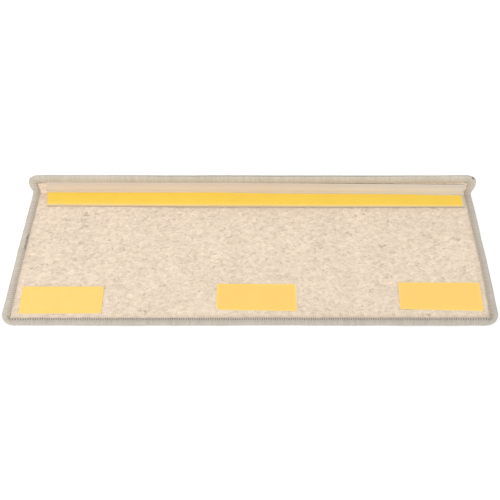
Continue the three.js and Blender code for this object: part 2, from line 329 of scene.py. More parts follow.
    def filled(self, inset, spacing):
        """x and s of a grid that fills the loop at an inset. Rows lie at even s, and each is stretched to
        the loop's width there, which narrows towards both ends by the circles of its corners."""
        front, nose = self.corner_radii(inset)
        length = self.length - 2 * inset
        rows = np.linspace(0, length, int(length / spacing) + 1)[:, None]
        across = np.linspace(-1, 1, int(2 * self.half_width / spacing) + 1)[None, :]
        front_gap = np.clip(front - rows, 0, None)
        nose_gap = np.clip(nose - (length - rows), 0, None)
        narrowing = front - np.sqrt(front**2 - front_gap**2) + nose - np.sqrt(nose**2 - nose_gap**2)
        x = across * (self.half_width - inset - narrowing)
        return x, np.broadcast_to(inset + rows, x.shape)

    def edge_distance(self, x, s):
        """How far a point of the sheet lies inside its outer edge with its rounded corners."""
        across = self.half_width - abs(x)
        distance = np.minimum(across, np.minimum(s, self.length - s))
        corners = ((self.sizes.front_corner, s), (self.sizes.nose_corner, self.length - s))
        for radius, along in corners:
            rounded = radius - np.hypot(radius - across, radius - along)
            distance = np.where((across < radius) & (along < radius), rounded, distance)
        return distance

    def free_of_yarn(self, x, s, blend):
        """0 under the whipping and 1 clear of it, easing over a short blend from its inner edge."""
        inside = self.edge_distance(x, s) - self.yarn_width(x, s)
        return ease(inside, -self.YARN_OVERHANG, blend)


def lattice(rows, columns, closed=(False, False)):
    """Quads of a grid of points, and each quad's corner rows and columns as they are before they wrap
    round. Columns run to the right and rows away, so that the quads face the viewer."""
    row, column = np.meshgrid(
        np.arange(rows if closed[0] else rows - 1),
        np.arange(columns if closed[1] else columns - 1),
        indexing="ij",
    )
    corner_rows = np.stack([row, row, row + 1, row + 1], -1).reshape(-1, 4)
    corner_columns = np.stack([column, column + 1, column + 1, column], -1).reshape(-1, 4)
    quads = (corner_rows % rows) * columns + corner_columns % columns
    return quads, corner_rows, corner_columns


def border(rows, columns):
    """The points round a grid, anticlockwise from its first one."""
    index = np.arange(rows * columns).reshape(rows, columns)
    return np.concatenate([index[0, :-1], index[:-1, -1], index[-1, :0:-1], index[:0:-1, 0]])


def new_piece(name, points, faces, node_names, uv=None, values=None, sharp_degrees=None):
    """Makes a mesh object of points in metres and lists of faces, lets it ride on the mat's body in place of
    the named nodes, and gives it a UV map (a place for each corner) and named values for each point."""
    mesh = bpy.data.meshes.new(name)
    mesh.from_pydata(points.tolist(), [], [face for group in faces for face in np.asarray(group).tolist()])
    mesh.polygons.foreach_set("use_smooth", np.ones(len(mesh.polygons), bool))
    if uv is not None:
        mesh.uv_layers.new(name="sheet").data.foreach_set("uv", np.asarray(uv, np.float32).ravel())
    for key, numbers in (values or {}).items():
        attribute = mesh.attributes.new(key, "FLOAT", "POINT")
        attribute.data.foreach_set("value", np.asarray(numbers, np.float32).ravel())
    if sharp_degrees is not None:
        mesh.set_sharp_from_angle(angle=np.radians(sharp_degrees))
    piece = bpy.data.objects.new(name, mesh)
    bpy.context.scene.collection.objects.link(piece)
    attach(piece, BODY)
    if node_names:
        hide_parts(*node_names)
    return piece


def corner_places(faces, places):
    """A UV place for each corner of each face, taken from its point."""
    return np.concatenate([places[np.ravel(group)] for group in faces])


class Finish:
    """A material under construction, as a Principled shader and the nodes that feed it."""

    def __init__(self, name, **settings):
        self.material = bpy.data.materials.new(name)
        self.material.use_nodes = True
        self.tree = self.material.node_tree
        self.shader = self.tree.nodes["Principled BSDF"]
        for socket, value in settings.items():
            self.set(socket.replace("_", " "), value)

    def set(self, socket, value):
        """Sets one of the shader's sockets, or joins it to another node's output."""
        self.join(self.shader.inputs[socket], value)

    def join(self, socket, value):
        if isinstance(value, bpy.types.NodeSocket):
            self.tree.links.new(value, socket)
        elif socket.type == "RGBA" and len(value) == 3:
            socket.default_value = (*value, 1)
        else:
            socket.default_value = value

    def node(self, kind, inputs, output=0, **settings):
        """Adds a node with its settings and inputs, by name or by number, and returns one of its outputs."""
        made = self.tree.nodes.new("ShaderNode" + kind)
        for key, value in settings.items():
            setattr(made, key, value)
        for key, value in inputs.items():
            self.join(made.inputs[key], value)
        return made.outputs[output]

    def sheet_place(self, scale=(1, 1, 1), turn_degrees=0):
        """The sheet's own flat coordinates in metres, turned and then stretched."""
        place = self.node("UVMap", {}, uv_map="sheet")
        turned = self.node("Mapping", {0: place, "Rotation": (0, 0, np.radians(turn_degrees))})
        return self.node("Mapping", {0: turned, "Scale": scale})

    def object_place(self, scale=(1, 1, 1)):
        place = self.node("TexCoord", {}, output="Object")
        return self.node("Mapping", {0: place, "Scale": scale})

    def axis(self, place, letter):
        """One of a place's three coordinates"""
        return self.node("SeparateXYZ", {0: place}, output=letter)

    def attribute(self, name):
        """A number that the mesh holds for each of its points"""
        return self.node("Attribute", {}, output="Fac", attribute_name=name)

    def grain(self, place, size, detail=2.0, distortion=0.0, roughness=0.5):
        """Noise of a given size in metres"""
        inputs = {"Vector": place, "Scale": 1 / size, "Detail": detail, "Distortion": distortion}
        return self.node("TexNoise", {**inputs, "Roughness": roughness})

    def band(self, value, low, high, bottom=0.0, top=1.0):
        """Maps a value from one range to another, smoothly and held at both ends."""
        inputs = {"Value": value, "From Min": low, "From Max": high, "To Min": bottom, "To Max": top}
        return self.node("MapRange", inputs, interpolation_type="SMOOTHSTEP")

    def spread(self, noise, bottom, top):
        """Maps the middle of a noise's range, where nearly all of it lies, to another range."""
        return self.band(noise, 0.3, 0.7, bottom, top)

    def math(self, operation, *values):
        return self.node("Math", dict(enumerate(values)), operation=operation)

    def add(self, *values):
        """Adds up two or more values."""
        total = values[0]
        for value in values[1:]:
            total = self.math("ADD", total, value)
        return total

    def mix(self, factor, first, second, blend="MIX"):
        """Blends the second colour over the first by a factor."""
        made = self.tree.nodes.new("ShaderNodeMix")
        made.data_type = "RGBA"
        made.blend_type = blend
        for key, value in ((0, factor), (6, first), (7, second)):
            self.join(made.inputs[key], value)
        return made.outputs[2]

    def tint(self, base, other):
        """Multiplies one colour by another."""
        return self.mix(1.0, base, other, "MULTIPLY")

    def shade(self, base, amount):
        """Multiplies a colour by a grey amount."""
        return self.tint(base, self.node("CombineColor", {0: amount, 1: amount, 2: amount}))

    def bump(self, height, distance, strength=1.0):
        self.set("Normal", self.node("Bump", {"Height": height, "Distance": distance, "Strength": strength}))


def felt_finish(colours):
    """Needled felt: broad clouds, short pale and dark streaks that cross at shallow angles, taupe flecks
    that gather in loose clusters, the same taupe mixed in as a darkening along the whipping and as painted
    shadow in front of the angle's free edge, and fine crossing fibres that also roughen the surface. It is a
    little darker and plainer towards the front, and darker towards the right."""
    finish = Finish("felt", Roughness=0.95, Sheen_Weight=0.1, Sheen_Roughness=0.6, Specular_IOR_Level=0.15)
    flat = finish.sheet_place()
    across, from_front = (finish.axis(flat, letter) for letter in "XY")
    plainness = finish.band(from_front, 20 * MM, 130 * MM, 0.87, 1.0)
    clouds = finish.grain(flat, 45 * MM)
    clusters = finish.grain(flat, 28 * MM, detail=1)
    warmth = finish.grain(finish.sheet_place((1, 1.4, 1), 30), 17 * MM)
    rising = finish.grain(finish.sheet_place((0.6, 0.85, 1), 14), 5.3 * MM, distortion=0.9, roughness=0.56)
    falling = finish.grain(finish.sheet_place((0.66, 0.9, 1), -24), 4.9 * MM, distortion=1.0, roughness=0.56)
    flecks = finish.grain(finish.sheet_place((0.7, 1.0, 1), -8), 5.6 * MM, distortion=1.4, roughness=0.6)
    fibres = finish.grain(finish.sheet_place((0.3, 1, 1), 12), 0.8 * MM)
    crossing = finish.grain(finish.sheet_place((1, 0.3, 1), -15), 0.7 * MM)
    upwards = finish.band(rising, 0.28, 0.72, -0.093, 0.07)
    downwards = finish.band(falling, 0.28, 0.72, -0.085, 0.06)
    streaks = finish.math("MULTIPLY", finish.add(upwards, downwards), plainness)
    level = finish.add(
        finish.spread(clouds, 0.975, 1.025),
        streaks,
        finish.spread(fibres, -0.02, 0.02),
        finish.spread(crossing, -0.02, 0.02),
        finish.band(from_front, 20 * MM, 150 * MM, -0.022, 0),
        finish.band(across, -250 * MM, 250 * MM, 0.004, -0.008),
    )
    gathered = finish.math("MULTIPLY", finish.band(clusters, 0.38, 0.68, 0.25, 0.72), plainness)
    fleck = finish.math("MULTIPLY", finish.band(flecks, 0.585, 0.71), gathered)
    # The edge value mixes in the taupe: a darkening along the whipping and painted shadow in front of the
    # angle
    fleck = finish.math("MAXIMUM", fleck, finish.math("MULTIPLY", finish.attribute("edge"), 0.28))
    warm = finish.mix(finish.band(warmth, 0.35, 0.65), (0.99, 1.0, 0.975), (1.0, 0.997, 1.0))
    cream = finish.tint(finish.shade(colours.felt, level), warm)
    finish.set("Base Color", finish.mix(fleck, cream, colours.fleck))
    finish.bump(finish.add(fibres, crossing, finish.math("MULTIPLY", streaks, 5.0)), 0.4 * MM, 0.8)
    return finish.material


def fibre_finish(colours):
    """Loose felt fibres, each of its own tone from cream to taupe."""
    finish = Finish("felt_fibre", Roughness=0.7, Sheen_Weight=0.1, Specular_IOR_Level=0.25)
    streaks = finish.grain(finish.object_place(), 0.8 * MM, detail=1)
    base = finish.mix(finish.attribute("tone"), colours.felt, colours.fleck)
    finish.set("Base Color", finish.shade(base, finish.spread(streaks, 0.9, 1.05)))
    finish.bump(streaks, 0.05 * MM)
    return finish.material


def yarn_finish(colours):
    """Whipping yarn: strands that run along each turn, turns of slightly different tones, heathered by
    darker and lighter fibres, and dark hollows between the turns that end in the needle holes, both painted
    shade. Its inner colour is its stitches with painted shade near the felt. The mesh's tone is painted light
    and shade, which makes it greyer along the front, paler on the left-hand side than on the right-hand one,
    paler on the nose's outside and lighter at the turns' ends."""
    finish = Finish(
        "whipping_yarn", Roughness=0.8, Sheen_Weight=0.15, Sheen_Roughness=0.5, Specular_IOR_Level=0.25
    )
    number = finish.math("FLOOR", finish.axis(finish.sheet_place(), "X"))
    turn_tone = finish.node("TexWhiteNoise", {"W": number}, noise_dimensions="1D")
    strands = finish.grain(finish.sheet_place((7, 2.2, 1)), 1)
    heather = finish.grain(finish.object_place(), 2.1 * MM, detail=3)
    broad = finish.grain(finish.object_place(), 30 * MM, detail=1)
    # The mesh's tone brings in painted light and shade
    level = finish.add(
        finish.band(turn_tone, 0, 1, 0.955, 1.03),
        finish.spread(strands, -0.08, 0.06),
        finish.spread(heather, -0.06, 0.05),
        finish.spread(broad, -0.02, 0.02),
        finish.attribute("tone"),
    )
    # The inner colour is the stitches near the felt with painted shade
    yarn = finish.shade(finish.mix(finish.attribute("inner"), colours.yarn, colours.yarn_inner), level)
    # Painted shade in the hollows between the turns
    shaded = finish.mix(finish.math("MULTIPLY", finish.attribute("hollow"), 0.18), yarn, colours.yarn_dark)
    # Painted shade in the needle holes and the open gap
    finish.set("Base Color", finish.mix(finish.attribute("needle"), shaded, colours.needle_hole))
    finish.bump(finish.add(strands, finish.math("MULTIPLY", heather, 0.4)), 0.25 * MM, 0.8)
    return finish.material


def pile_finish(colours):
    """Low loop pile: every loop has its own tone between two greiges, the hollows get painted shade, and
    fine strands cross each loop."""
    finish = Finish(
        "loop_pile", Roughness=0.9, Sheen_Weight=0.15, Sheen_Roughness=0.5, Specular_IOR_Level=0.2
    )
    strands = finish.grain(finish.sheet_place((1, 0.35, 1), 18), 0.9 * MM)
    heather = finish.grain(finish.sheet_place(), 2.5 * MM, detail=3)
    loop_tone = finish.band(finish.attribute("tone"), 0, 1, 0.1, 0.5)
    blend = finish.add(loop_tone, finish.band(heather, 0.35, 0.7, 0.0, 0.4))
    # Painted shade in the hollows between the loops
    in_hollow = finish.math("MULTIPLY", finish.attribute("hollow"), 0.35)
    level = finish.math("SUBTRACT", finish.spread(strands, 0.92, 1.05), in_hollow)
    finish.set("Base Color", finish.shade(finish.mix(blend, colours.pile, colours.pile_dark), level))
    finish.bump(strands, 0.3 * MM, 0.8)
    return finish.material


def plastic_finish(colours):
    """Satin extruded plastic, with faint lines along its length and a little cloudiness. It darkens with
    painted shade towards the top of the nose, under the whipping, is pale with painted light on its cut top
    edge, warmer near the fold with a painted reflection of the yellow strip, cooler towards its right-hand
    end, and darkened with painted shade along its free edge."""
    finish = Finish("angle_plastic", Specular_IOR_Level=0.45)
    lines = finish.grain(finish.object_place((0.012, 1, 1)), 0.7 * MM)
    clouds = finish.grain(finish.object_place((0.3, 1, 1)), 20 * MM)
    across, height = (finish.axis(finish.object_place(), letter) for letter in "XZ")
    level = finish.add(finish.spread(clouds, 0.985, 1.01), finish.spread(lines, -0.015, 0.015))
    # Painted shade towards the top of the nose under the whipping, then painted light on the cut top edge
    level = finish.math("MULTIPLY", level, finish.band(height, 13 * MM, 24.4 * MM, 1.0, 0.9))
    level = finish.math("MULTIPLY", level, finish.band(height, 24.4 * MM, 25.1 * MM, 1.0, 1.07))
    cool = finish.mix(finish.band(across, 30 * MM, 220 * MM), (1.0, 1.0, 1.0), (1.0, 1.06, 1.09))
    clean = finish.tint(finish.shade(colours.angle, level), cool)
    # A painted yellow reflection of the strip near the fold
    warm = finish.tint(clean, (0.99, 0.95, 0.83))
    plastic = finish.mix(finish.band(height, 9 * MM, 14 * MM), warm, clean)
    # Painted shade along the free edge
    finish.set("Base Color", finish.mix(finish.attribute("soiled"), plastic, colours.angle_edge))
    finish.set("Roughness", finish.spread(clouds, 0.36, 0.48))
    finish.bump(lines, 0.04 * MM, 0.6)
    return finish.material


def paper_finish(name, base, edge, colours):
    """Waxed release paper: even colour with faint clouds where it touches the tape, edges of another yellow,
    which on the long strip's front edge is a painted highlight, worn corners, and the paper's own fine tooth."""
    finish = Finish(name, Coat_Weight=0.12, Coat_Roughness=0.35, Specular_IOR_Level=0.4)
    clouds = finish.grain(finish.object_place(), 22 * MM)
    tooth = finish.grain(finish.object_place(), 0.9 * MM)
    level = finish.add(finish.spread(clouds, 0.99, 1.015), finish.spread(tooth, -0.012, 0.012))
    paper = finish.shade(finish.mix(finish.attribute("margin"), base, edge), level)
    finish.set("Base Color", finish.mix(finish.attribute("worn"), paper, colours.adhesive))
    finish.set("Roughness", finish.spread(clouds, 0.36, 0.46))
    finish.bump(tooth, 0.05 * MM, 0.5)
    return finish.material


def tape_finish(name, adhesive):
    """Adhesive, slightly glossy and uneven where it was cut."""
    finish = Finish(name, Roughness=0.35, Specular_IOR_Level=0.5)
    cut = finish.grain(finish.object_place(), 1.2 * MM)
    finish.set("Base Color", finish.shade(adhesive, finish.spread(cut, 0.94, 1.02)))
    finish.bump(cut, 0.08 * MM)
    return finish.material


def finish_for(piece, material):
    piece.data.materials.clear()
    piece.data.materials.append(material)


def ply_faces(rows, columns, faces_up):
    """Faces of a closed ply: the fine grid, a wall round its border down to a copy of the border, and strips
    from side to side across the back. The first and last strips take in the whole of the end rows."""
    quads, _, _ = lattice(rows, columns)
    ring = border(rows, columns)
    count = len(ring)
    below = rows * columns + np.arange(count)
    following = np.roll(np.arange(count), -1)
    wall = np.stack([ring[following], ring, below, below[following]], -1)
    right = below[columns - 1 : columns - 1 + rows]
    left = np.concatenate([below[:1], below[: -rows : -1]])[:rows]
    strips = np.stack([left[1:-2], left[2:-1], right[2:-1], right[1:-2]], -1)
    front = [left[1], right[1], *below[columns - 1 :: -1]]
    far = [left[-2], *below[columns + rows - 2 : 2 * columns + rows - 2][::-1], right[-2]]
    groups = [quads, wall, strips, np.array([front]), np.array([far])]
    return groups if faces_up else [group[:, ::-1] for group in groups]


def make_ply(name, carpet, x, s, face, back, faces_up, node_name, values):
    """A ply of the carpet: a fine grid for the face that shows, closed by a plain back, both folded."""
    ring = border(*x.shape)
    ring_x, ring_s = x.ravel()[ring], s.ravel()[ring]
    points = np.concatenate([carpet.folded(x, s, face), carpet.folded(ring_x, ring_s, back)])
    faces = ply_faces(*x.shape, faces_up)
    places = np.stack([np.concatenate([x.ravel(), ring_x]), np.concatenate([s.ravel(), ring_s])], -1)
    whole = {key: np.concatenate([number.ravel(), number.ravel()[ring]]) for key, number in values.items()}
    return new_piece(name, points, faces, [node_name], corner_places(faces, places), whole)


# Spacing of the two plies' grids, how deep and how far out the yarn presses the felt in, and the felt's
# hills, as share, grain and seed, less a constant
FELT_SPACING = 1.6 * MM
LOOP_SPACING = 1.4 * MM
FELT_UNDER_YARN = 0.12 * MM
YARN_PRESS_REACH = 3 * MM
FELT_HILLS = ((0.6, 11 * MM, 3), (0.4, 4.2 * MM, 5))
FELT_LOWERED = 0.4


def felt_height(carpet, x, s):
    """Height of the felt: level, with gentle hills of two sizes, dipping under the whipping's edge."""
    sizes = carpet.sizes
    free = carpet.free_of_yarn(x, s, YARN_PRESS_REACH)
    relief = sum(share * hills(x, s, grain, seed) for share, grain, seed in FELT_HILLS) - FELT_LOWERED
    return sizes.carpet_thickness - FELT_UNDER_YARN * (1 - free) + sizes.felt_relief * relief * free


class TREADMAT_OT_felt(bpy.types.Operator):
    """Makes the felt backing with its relief and the loose fibres on it"""

    bl_idname = "tread_mat.felt"
    bl_label = "Felt Backing"

    # The two layers of darkening beside the whipping, as their reach and strength, and where and how much it
    # is weaker, near the fold, and stronger, along the front right of the middle
    YARN_SOILING = ((3.5 * MM, 0.6), (9 * MM, 0.4))
    WEAKER_BEFORE_FOLD, WEAKER_SHARE = (25 * MM, 45 * MM), 0.85
    STRONGER_FROM_FRONT, STRONGER_SHARE = (16 * MM, 30 * MM), 0.75
    STRONGER_ACROSS = (-120 * MM, -20 * MM)

    # The same for the painted shadow in front of the angle's free edge, which begins on the left and weakens
    # to the right
    ANGLE_SOILING = (((0.5 * MM, 3.5 * MM), 0.8), ((2 * MM, 16 * MM), 0.25))
    ANGLE_SOILING_BEGINS = (-230 * MM, -80 * MM)
    ANGLE_SOILING_WEAKENS, ANGLE_WEAKER_SHARE = (80 * MM, 200 * MM), 0.35
    ANGLE_END = (0, 20 * MM)

    # A loose fibre's length and thickness in millimetres, the spread of its heading and of its bend in
    # radians, how high its middle lies, how far its ends are pressed in and how much they taper, as shares
    # of its thickness, the two measures of the tones' beta spread, how far clear of the yarn a fibre lies,
    # and how many points it has along it and round it
    FIBRE_LENGTHS = (2.5, 9.0)
    FIBRE_THICKNESSES = (0.07, 0.15)
    HEADING_SPREAD = 0.75
    BEND_SPREAD = 1.3
    FIBRE_LIFT, END_PRESS, END_TAPER = 0.9, 5.0, 2.6
    TONE_SPREAD = (0.8, 1.1)
    CLEAR_OF_YARN = 3.5 * MM
    STATIONS = 6
    SIDES = 3

    def execute(self, context):
        carpet = Carpet(context.scene.tread_mat_sizes)
        colours = context.scene.tread_mat_colours
        sizes = carpet.sizes
        x, s = carpet.filled(sizes.whip_edge, FELT_SPACING)
        height = felt_height(carpet, x, s)
        # edge holds the felt's darkening along the whipping and its painted shadow in front of the angle
        values = {"edge": self.soiling(carpet, x, s)}
        felt = make_ply(
            "felt_sheet", carpet, x, s, height, sizes.pile_thickness, True, "felt_backing", values
        )
        finish_for(felt, felt_finish(colours))
        self.add_fibres(carpet, colours)
        return {"FINISHED"}

    def soiling(self, carpet, x, s):
        """How much the felt is darkened: along the whipping except near the fold and on the nose, and by
        painted shadow in front of the angle, by the distance from each, easing away."""
        by_yarn = sum(share * (1 - carpet.free_of_yarn(x, s, reach)) for reach, share in self.YARN_SOILING)
        near_fold = 1 - ease(carpet.flat_length - s, *self.WEAKER_BEFORE_FOLD)
        along_front = (1 - ease(s, *self.STRONGER_FROM_FRONT)) * ease(x, *self.STRONGER_ACROSS)
        by_yarn = by_yarn * (1 - self.WEAKER_SHARE * near_fold) * (1 + self.STRONGER_SHARE * along_front)
        # Painted shadow on the felt in front of the angle's free edge, narrow and dark, then wide and faint
        line = FoldLine(carpet)
        _, edge_y = line.settled(x, np.full_like(x, line.low[1]))
        away = edge_y - CAD_LOW[1] - s
        by_angle = sum(share * (1 - ease(away, *reach)) for reach, share in self.ANGLE_SOILING)
        within = ease(x, *self.ANGLE_SOILING_BEGINS) * ease(line.high[0] - x, *self.ANGLE_END)
        weaker = self.ANGLE_WEAKER_SHARE * ease(x, *self.ANGLE_SOILING_WEAKENS)
        by_angle = by_angle * within * (1 - weaker)
        return np.maximum(by_yarn, by_angle)

    def add_fibres(self, carpet, colours):
        """Loose fibres as closed three-sided tubes. Each follows a shallow arc about its middle, given by a
        direction and a bend, and rides over the felt's relief, with its ends pressed into it."""
        sizes = carpet.sizes
        random = np.random.default_rng(11)
        count, stations, sides = sizes.fibre_count, self.STATIONS, self.SIDES
        reach = sizes.whip_width + self.CLEAR_OF_YARN
        x = random.uniform(reach - carpet.half_width, carpet.half_width - reach, (count, 1))
        s = random.uniform(reach, carpet.length - reach, (count, 1))
        heading = random.normal(0.0, self.HEADING_SPREAD, (count, 1))
        bend = random.normal(0.0, self.BEND_SPREAD, (count, 1))
        long = random.uniform(*self.FIBRE_LENGTHS, (count, 1)) * MM
        thick = random.uniform(*self.FIBRE_THICKNESSES, (count, 1)) * MM
        tone = np.repeat(random.beta(*self.TONE_SPREAD, count), stations * sides)
        along = np.linspace(-0.5, 0.5, stations)[None, :]
        turned = heading + bend * along
        step = long / (stations - 1)
        path_x = x + np.cumsum(np.cos(turned), 1) * step - long / 2 * np.cos(heading)
        path_s = s + np.cumsum(np.sin(turned), 1) * step - long / 2 * np.sin(heading)
        lift = thick * (self.FIBRE_LIFT - self.END_PRESS * along**2)
        path_n = felt_height(carpet, path_x, path_s) + lift
        around = np.arange(sides) / sides * 2 * np.pi
        slim = (thick * (1 - self.END_TAPER * along**2))[..., None]
        offset_side, offset_up = slim * np.cos(around), slim * np.sin(around)
        points = carpet.folded(
            path_x[..., None] - np.sin(turned)[..., None] * offset_side,
            path_s[..., None] + np.cos(turned)[..., None] * offset_side,
            path_n[..., None] + offset_up,
        )
        tube, _, _ = lattice(stations, sides, (False, True))
        first = np.arange(count)[:, None, None] * stations * sides
        last = (stations - 1) * sides
        caps = np.array([[2, 1, 0], [last, last + 1, last + 2]])
        faces = [(tube[None] + first).reshape(-1, 4), (caps[None] + first).reshape(-1, 3)]
        fibres = new_piece("felt_fibres", points, faces, [], values={"tone": tone})
        finish_for(fibres, fibre_finish(colours))


class TREADMAT_OT_pile(bpy.types.Operator):
    """Makes the loop pile of the walking face, which the mat lies on"""

    bl_idname = "tread_mat.pile"
    bl_label = "Loop Pile"

    # How many tones the table of loops holds each way, how unevenly high the loops are, and how far from the
    # whipping they reach their full height
    TONES = 256
    LOOP_UNEVEN = 0.15 * MM
    YARN_BLEND = 2 * MM

    def execute(self, context):
        """Loops are round-topped hills on a grid of the loops' pitch, every other row moved by half a loop.
        Across, a hill is the square root of a cosine, which gives it a full top and a sharp hollow."""
        carpet = Carpet(context.scene.tread_mat_sizes)
        sizes = carpet.sizes
        x, s = carpet.filled(sizes.whip_edge, LOOP_SPACING)
        row = np.round(x / sizes.loop_pitch)
        along = s / sizes.loop_pitch + 0.5 * (row % 2)
        loop = np.round(along)
        across_hill = np.sqrt(np.abs(np.cos(np.pi * (x / sizes.loop_pitch - row))))
        along_hill = np.sqrt(np.abs(np.cos(np.pi * (along - loop))))
        hollow = 1 - across_hill * along_hill
        table = np.random.default_rng(7).uniform(0, 1, (self.TONES, self.TONES))
        tone = table[row.astype(int) % self.TONES, loop.astype(int) % self.TONES]
        free = carpet.free_of_yarn(x, s, self.YARN_BLEND)
        face = sizes.loop_depth * (hollow * free + (1 - free)) + self.LOOP_UNEVEN * tone * free
        values = {"tone": tone, "hollow": hollow}
        pile = make_ply(
            "pile_sheet", carpet, x, s, face, sizes.pile_thickness, False, "pile_carpet", values
        )
        finish_for(pile, pile_finish(context.scene.tread_mat_colours))
        return {"FINISHED"}


class Turns:
    """The turns of yarn over the mat's edge, as arrays with a row for each step round the rim and a column
    for each point of the wound section. side runs from -1 at the section's upper tip, round the outside, to
    1 at its lower tip. Each turn is a round ridge, the square root of a cosine across it, and it leans, so
    that it comes out below half a pitch further on than above."""

    # Points along a turn's width, round the section and in the finer oval that it is taken from, where the
    # oval is cut off and how full it is, and how far a turn leans, as a share of a pitch
    STEPS_PER_TURN = 6
    OUTSIDE_POINTS = 19
    OVAL_POINTS = 801
    TIP_ANGLE = 0.5
    FULLNESS = 0.5
    LEAN = 0.25

    # Stretches of side, counted towards a tip: where the tip sets in, where it is rounded and, on the nose,
    # lifted, where the inner colour of stitches and painted shade sets in, and where the nose's outside ends
    TIP = (0.61, 0.76)
    ROUNDED_TIP = (0.85, 1)
    LIFTED_TIP = (0.55, 1)
    INNER_COLOUR = (0.4, 0.95)
    OUTSIDE_ENDS = (0.3, 0.8)

    # The ridge's height below which a needle hole opens at a tip, how much lower it is where the hole is
    # fully open, how dark a hole's painted shade is, and how much less it shows on the nose and on the sides
    HOLE_RIDGE = 0.86
    HOLE_SLOPE = 0.2
    HOLE_SHARE = 0.82
    HIDDEN_ON_NOSE, HIDDEN_ON_SIDES = 0.9, 0.62

    # How much less of the inner colour, stitches and painted shade, the nose's ends and the turns' own ends
    # take; the lighter turns' ends are a painted highlight
    INNER_LESS_ON_NOSE, INNER_LESS_AT_TIP = 0.35, 0.8

    # How unevenly the turns sink and end, how deep the holes and the yarn's start are, and how far the turns
    # rise on the nose
    SINK_UNEVEN = 0.12 * MM
    TIP_UNEVEN = 0.35 * MM
    HOLE_DEPTH = 0.6 * MM
    START_DEPTH = 0.3 * MM
    NOSE_LIFT = 0.9 * MM

    # The start of the yarn: its place as a share of the nose's corner, its side, its reach both ways, and
    # over which part of that reach it fades
    START_PLACE = 0.54
    START_SIDE = -0.14
    START_REACH = 2.6 * MM
    START_SIDE_REACH = 0.16
    START_FADES = (0.5, 1.2)

    # The open gap on the left-hand side: its middle and half its length along the carpet, and between how
    # many half lengths from its middle its depth and its colours fade
    GAP_PLACE = 139 * MM
    GAP_HALF_LENGTH = 14 * MM
    GAP_DEPTH_FADES = (0.6, 1.15)
    GAP_COLOURS_FADE = (0.75, 1.2)

    # Stretches of side over which the gap deepens, darkens with painted shade and is paler again, and over
    # which the turns' pale ends beside it, a painted highlight, begin and end
    GAP_DEEPENS = (0.74, 0.88)
    GAP_DARKENS, GAP_PALES = (0.72, 0.8), (0.88, 0.96)
    PALE_ENDS_BEGIN, PALE_ENDS_END = (0.5, 0.58), (0.66, 0.74)

    # The gap's depth and the darkness of its painted shade, how much each varies from turn to turn, and how
    # much paler it gets again
    GAP_DEPTH, GAP_DEPTH_UNEVEN = 0.6, 0.4
    GAP_DARKNESS, GAP_DARKNESS_UNEVEN = 0.56, 0.2
    GAP_PALER = 0.6

    # The edge's waver: size, times round the rim, and turn of each wave, less a constant
    WAVES = ((0.5, 5, 1.0), (0.3, 13, 0.0), (0.2, 31, 2.0))
    WAVER_INWARDS = 0.3

    # Where the nose sets in, how deep the front is, and how far from the middle the nose's ends set in, for
    # the inner colour in metres, and for the painted light as a share of half the width
    NOSE_FROM_FOLD = (0, 10 * MM)
    FRONT_BAND = (0, 14 * MM)
    INNER_NOSE_ENDS = (150 * MM, 250 * MM)
    TONE_NOSE_ENDS = (0.25, 0.7)

    # Painted light and shade, as shares of the yarn's colour, and how much each changes from the middle to
    # the
    # right or to the ends: shade along the front, light on the sides turning to shade on the right, light on
    # the nose's outside, and highlights on the turns' pale ends
    FRONT_TONE, FRONT_TONE_RIGHT = -0.08, -0.03
    SIDE_TONE, SIDE_TONE_RIGHT = 0.015, -0.05
    NOSE_TONE, NOSE_TONE_ENDS = 0.01, 0.02
    FRONT_TIP_TONE, GAP_TIP_TONE = 0.13, 0.1

    # The core under the yarn: how far short of the tips it ends, its four corners' heights, and how far the
    # yarn's pattern runs on at each of them and back to the first tip
    CORE_SHORT = 1.8 * MM
    CORE_HEIGHTS = np.array([1.4, 1.2, 4.4, 4.3]) * MM
    CORE_TRAVEL = np.array([1, 9, 12, 20, 21]) * MM

    def __init__(self, carpet):
        self.carpet, self.sizes = carpet, carpet.sizes
        ends = carpet.half_rim()
        count = int(round(2 * ends[-1] / self.sizes.wrap_pitch))
        self.steps = count * self.STEPS_PER_TURN
        number = np.arange(self.steps)[:, None] / self.STEPS_PER_TURN
        self.round_rim = number / count * 2 * np.pi
        self.along = (number / count * 2 - 1) * ends[-1]
        self.side = np.linspace(-1, 1, self.OUTSIDE_POINTS)[None, :]
        self.x, self.s = carpet.rim(self.along, 0.0)
        phase = number - self.LEAN * self.side
        turn = np.round(phase).astype(int) % count
        self.ridge = np.sqrt(np.abs(np.cos(np.pi * (phase - np.round(phase)))))
        fullness, length_change = np.random.default_rng(23).uniform(-1, 1, (2, count))
        self.fullness, self.length_change = fullness[turn], length_change[turn]
        self.at_tip = ease(np.abs(self.side), *self.TIP)
        self.hole = self.at_tip * np.clip((self.HOLE_RIDGE - self.ridge) / self.HOLE_SLOPE, 0, 1)
        self.on_nose = ease(self.s - carpet.flat_length, *self.NOSE_FROM_FOLD)
        self.on_left = self.x < 0
        self.from_gap = np.abs(self.s - self.GAP_PLACE) / self.GAP_HALF_LENGTH
        start_along = ends[2] + self.START_PLACE * (ends[3] - ends[2])
        from_start = (self.along - start_along) / self.START_REACH
        beside_start = (self.side - self.START_SIDE) / self.START_SIDE_REACH
        self.start = 1 - ease(np.hypot(from_start, beside_start), *self.START_FADES)

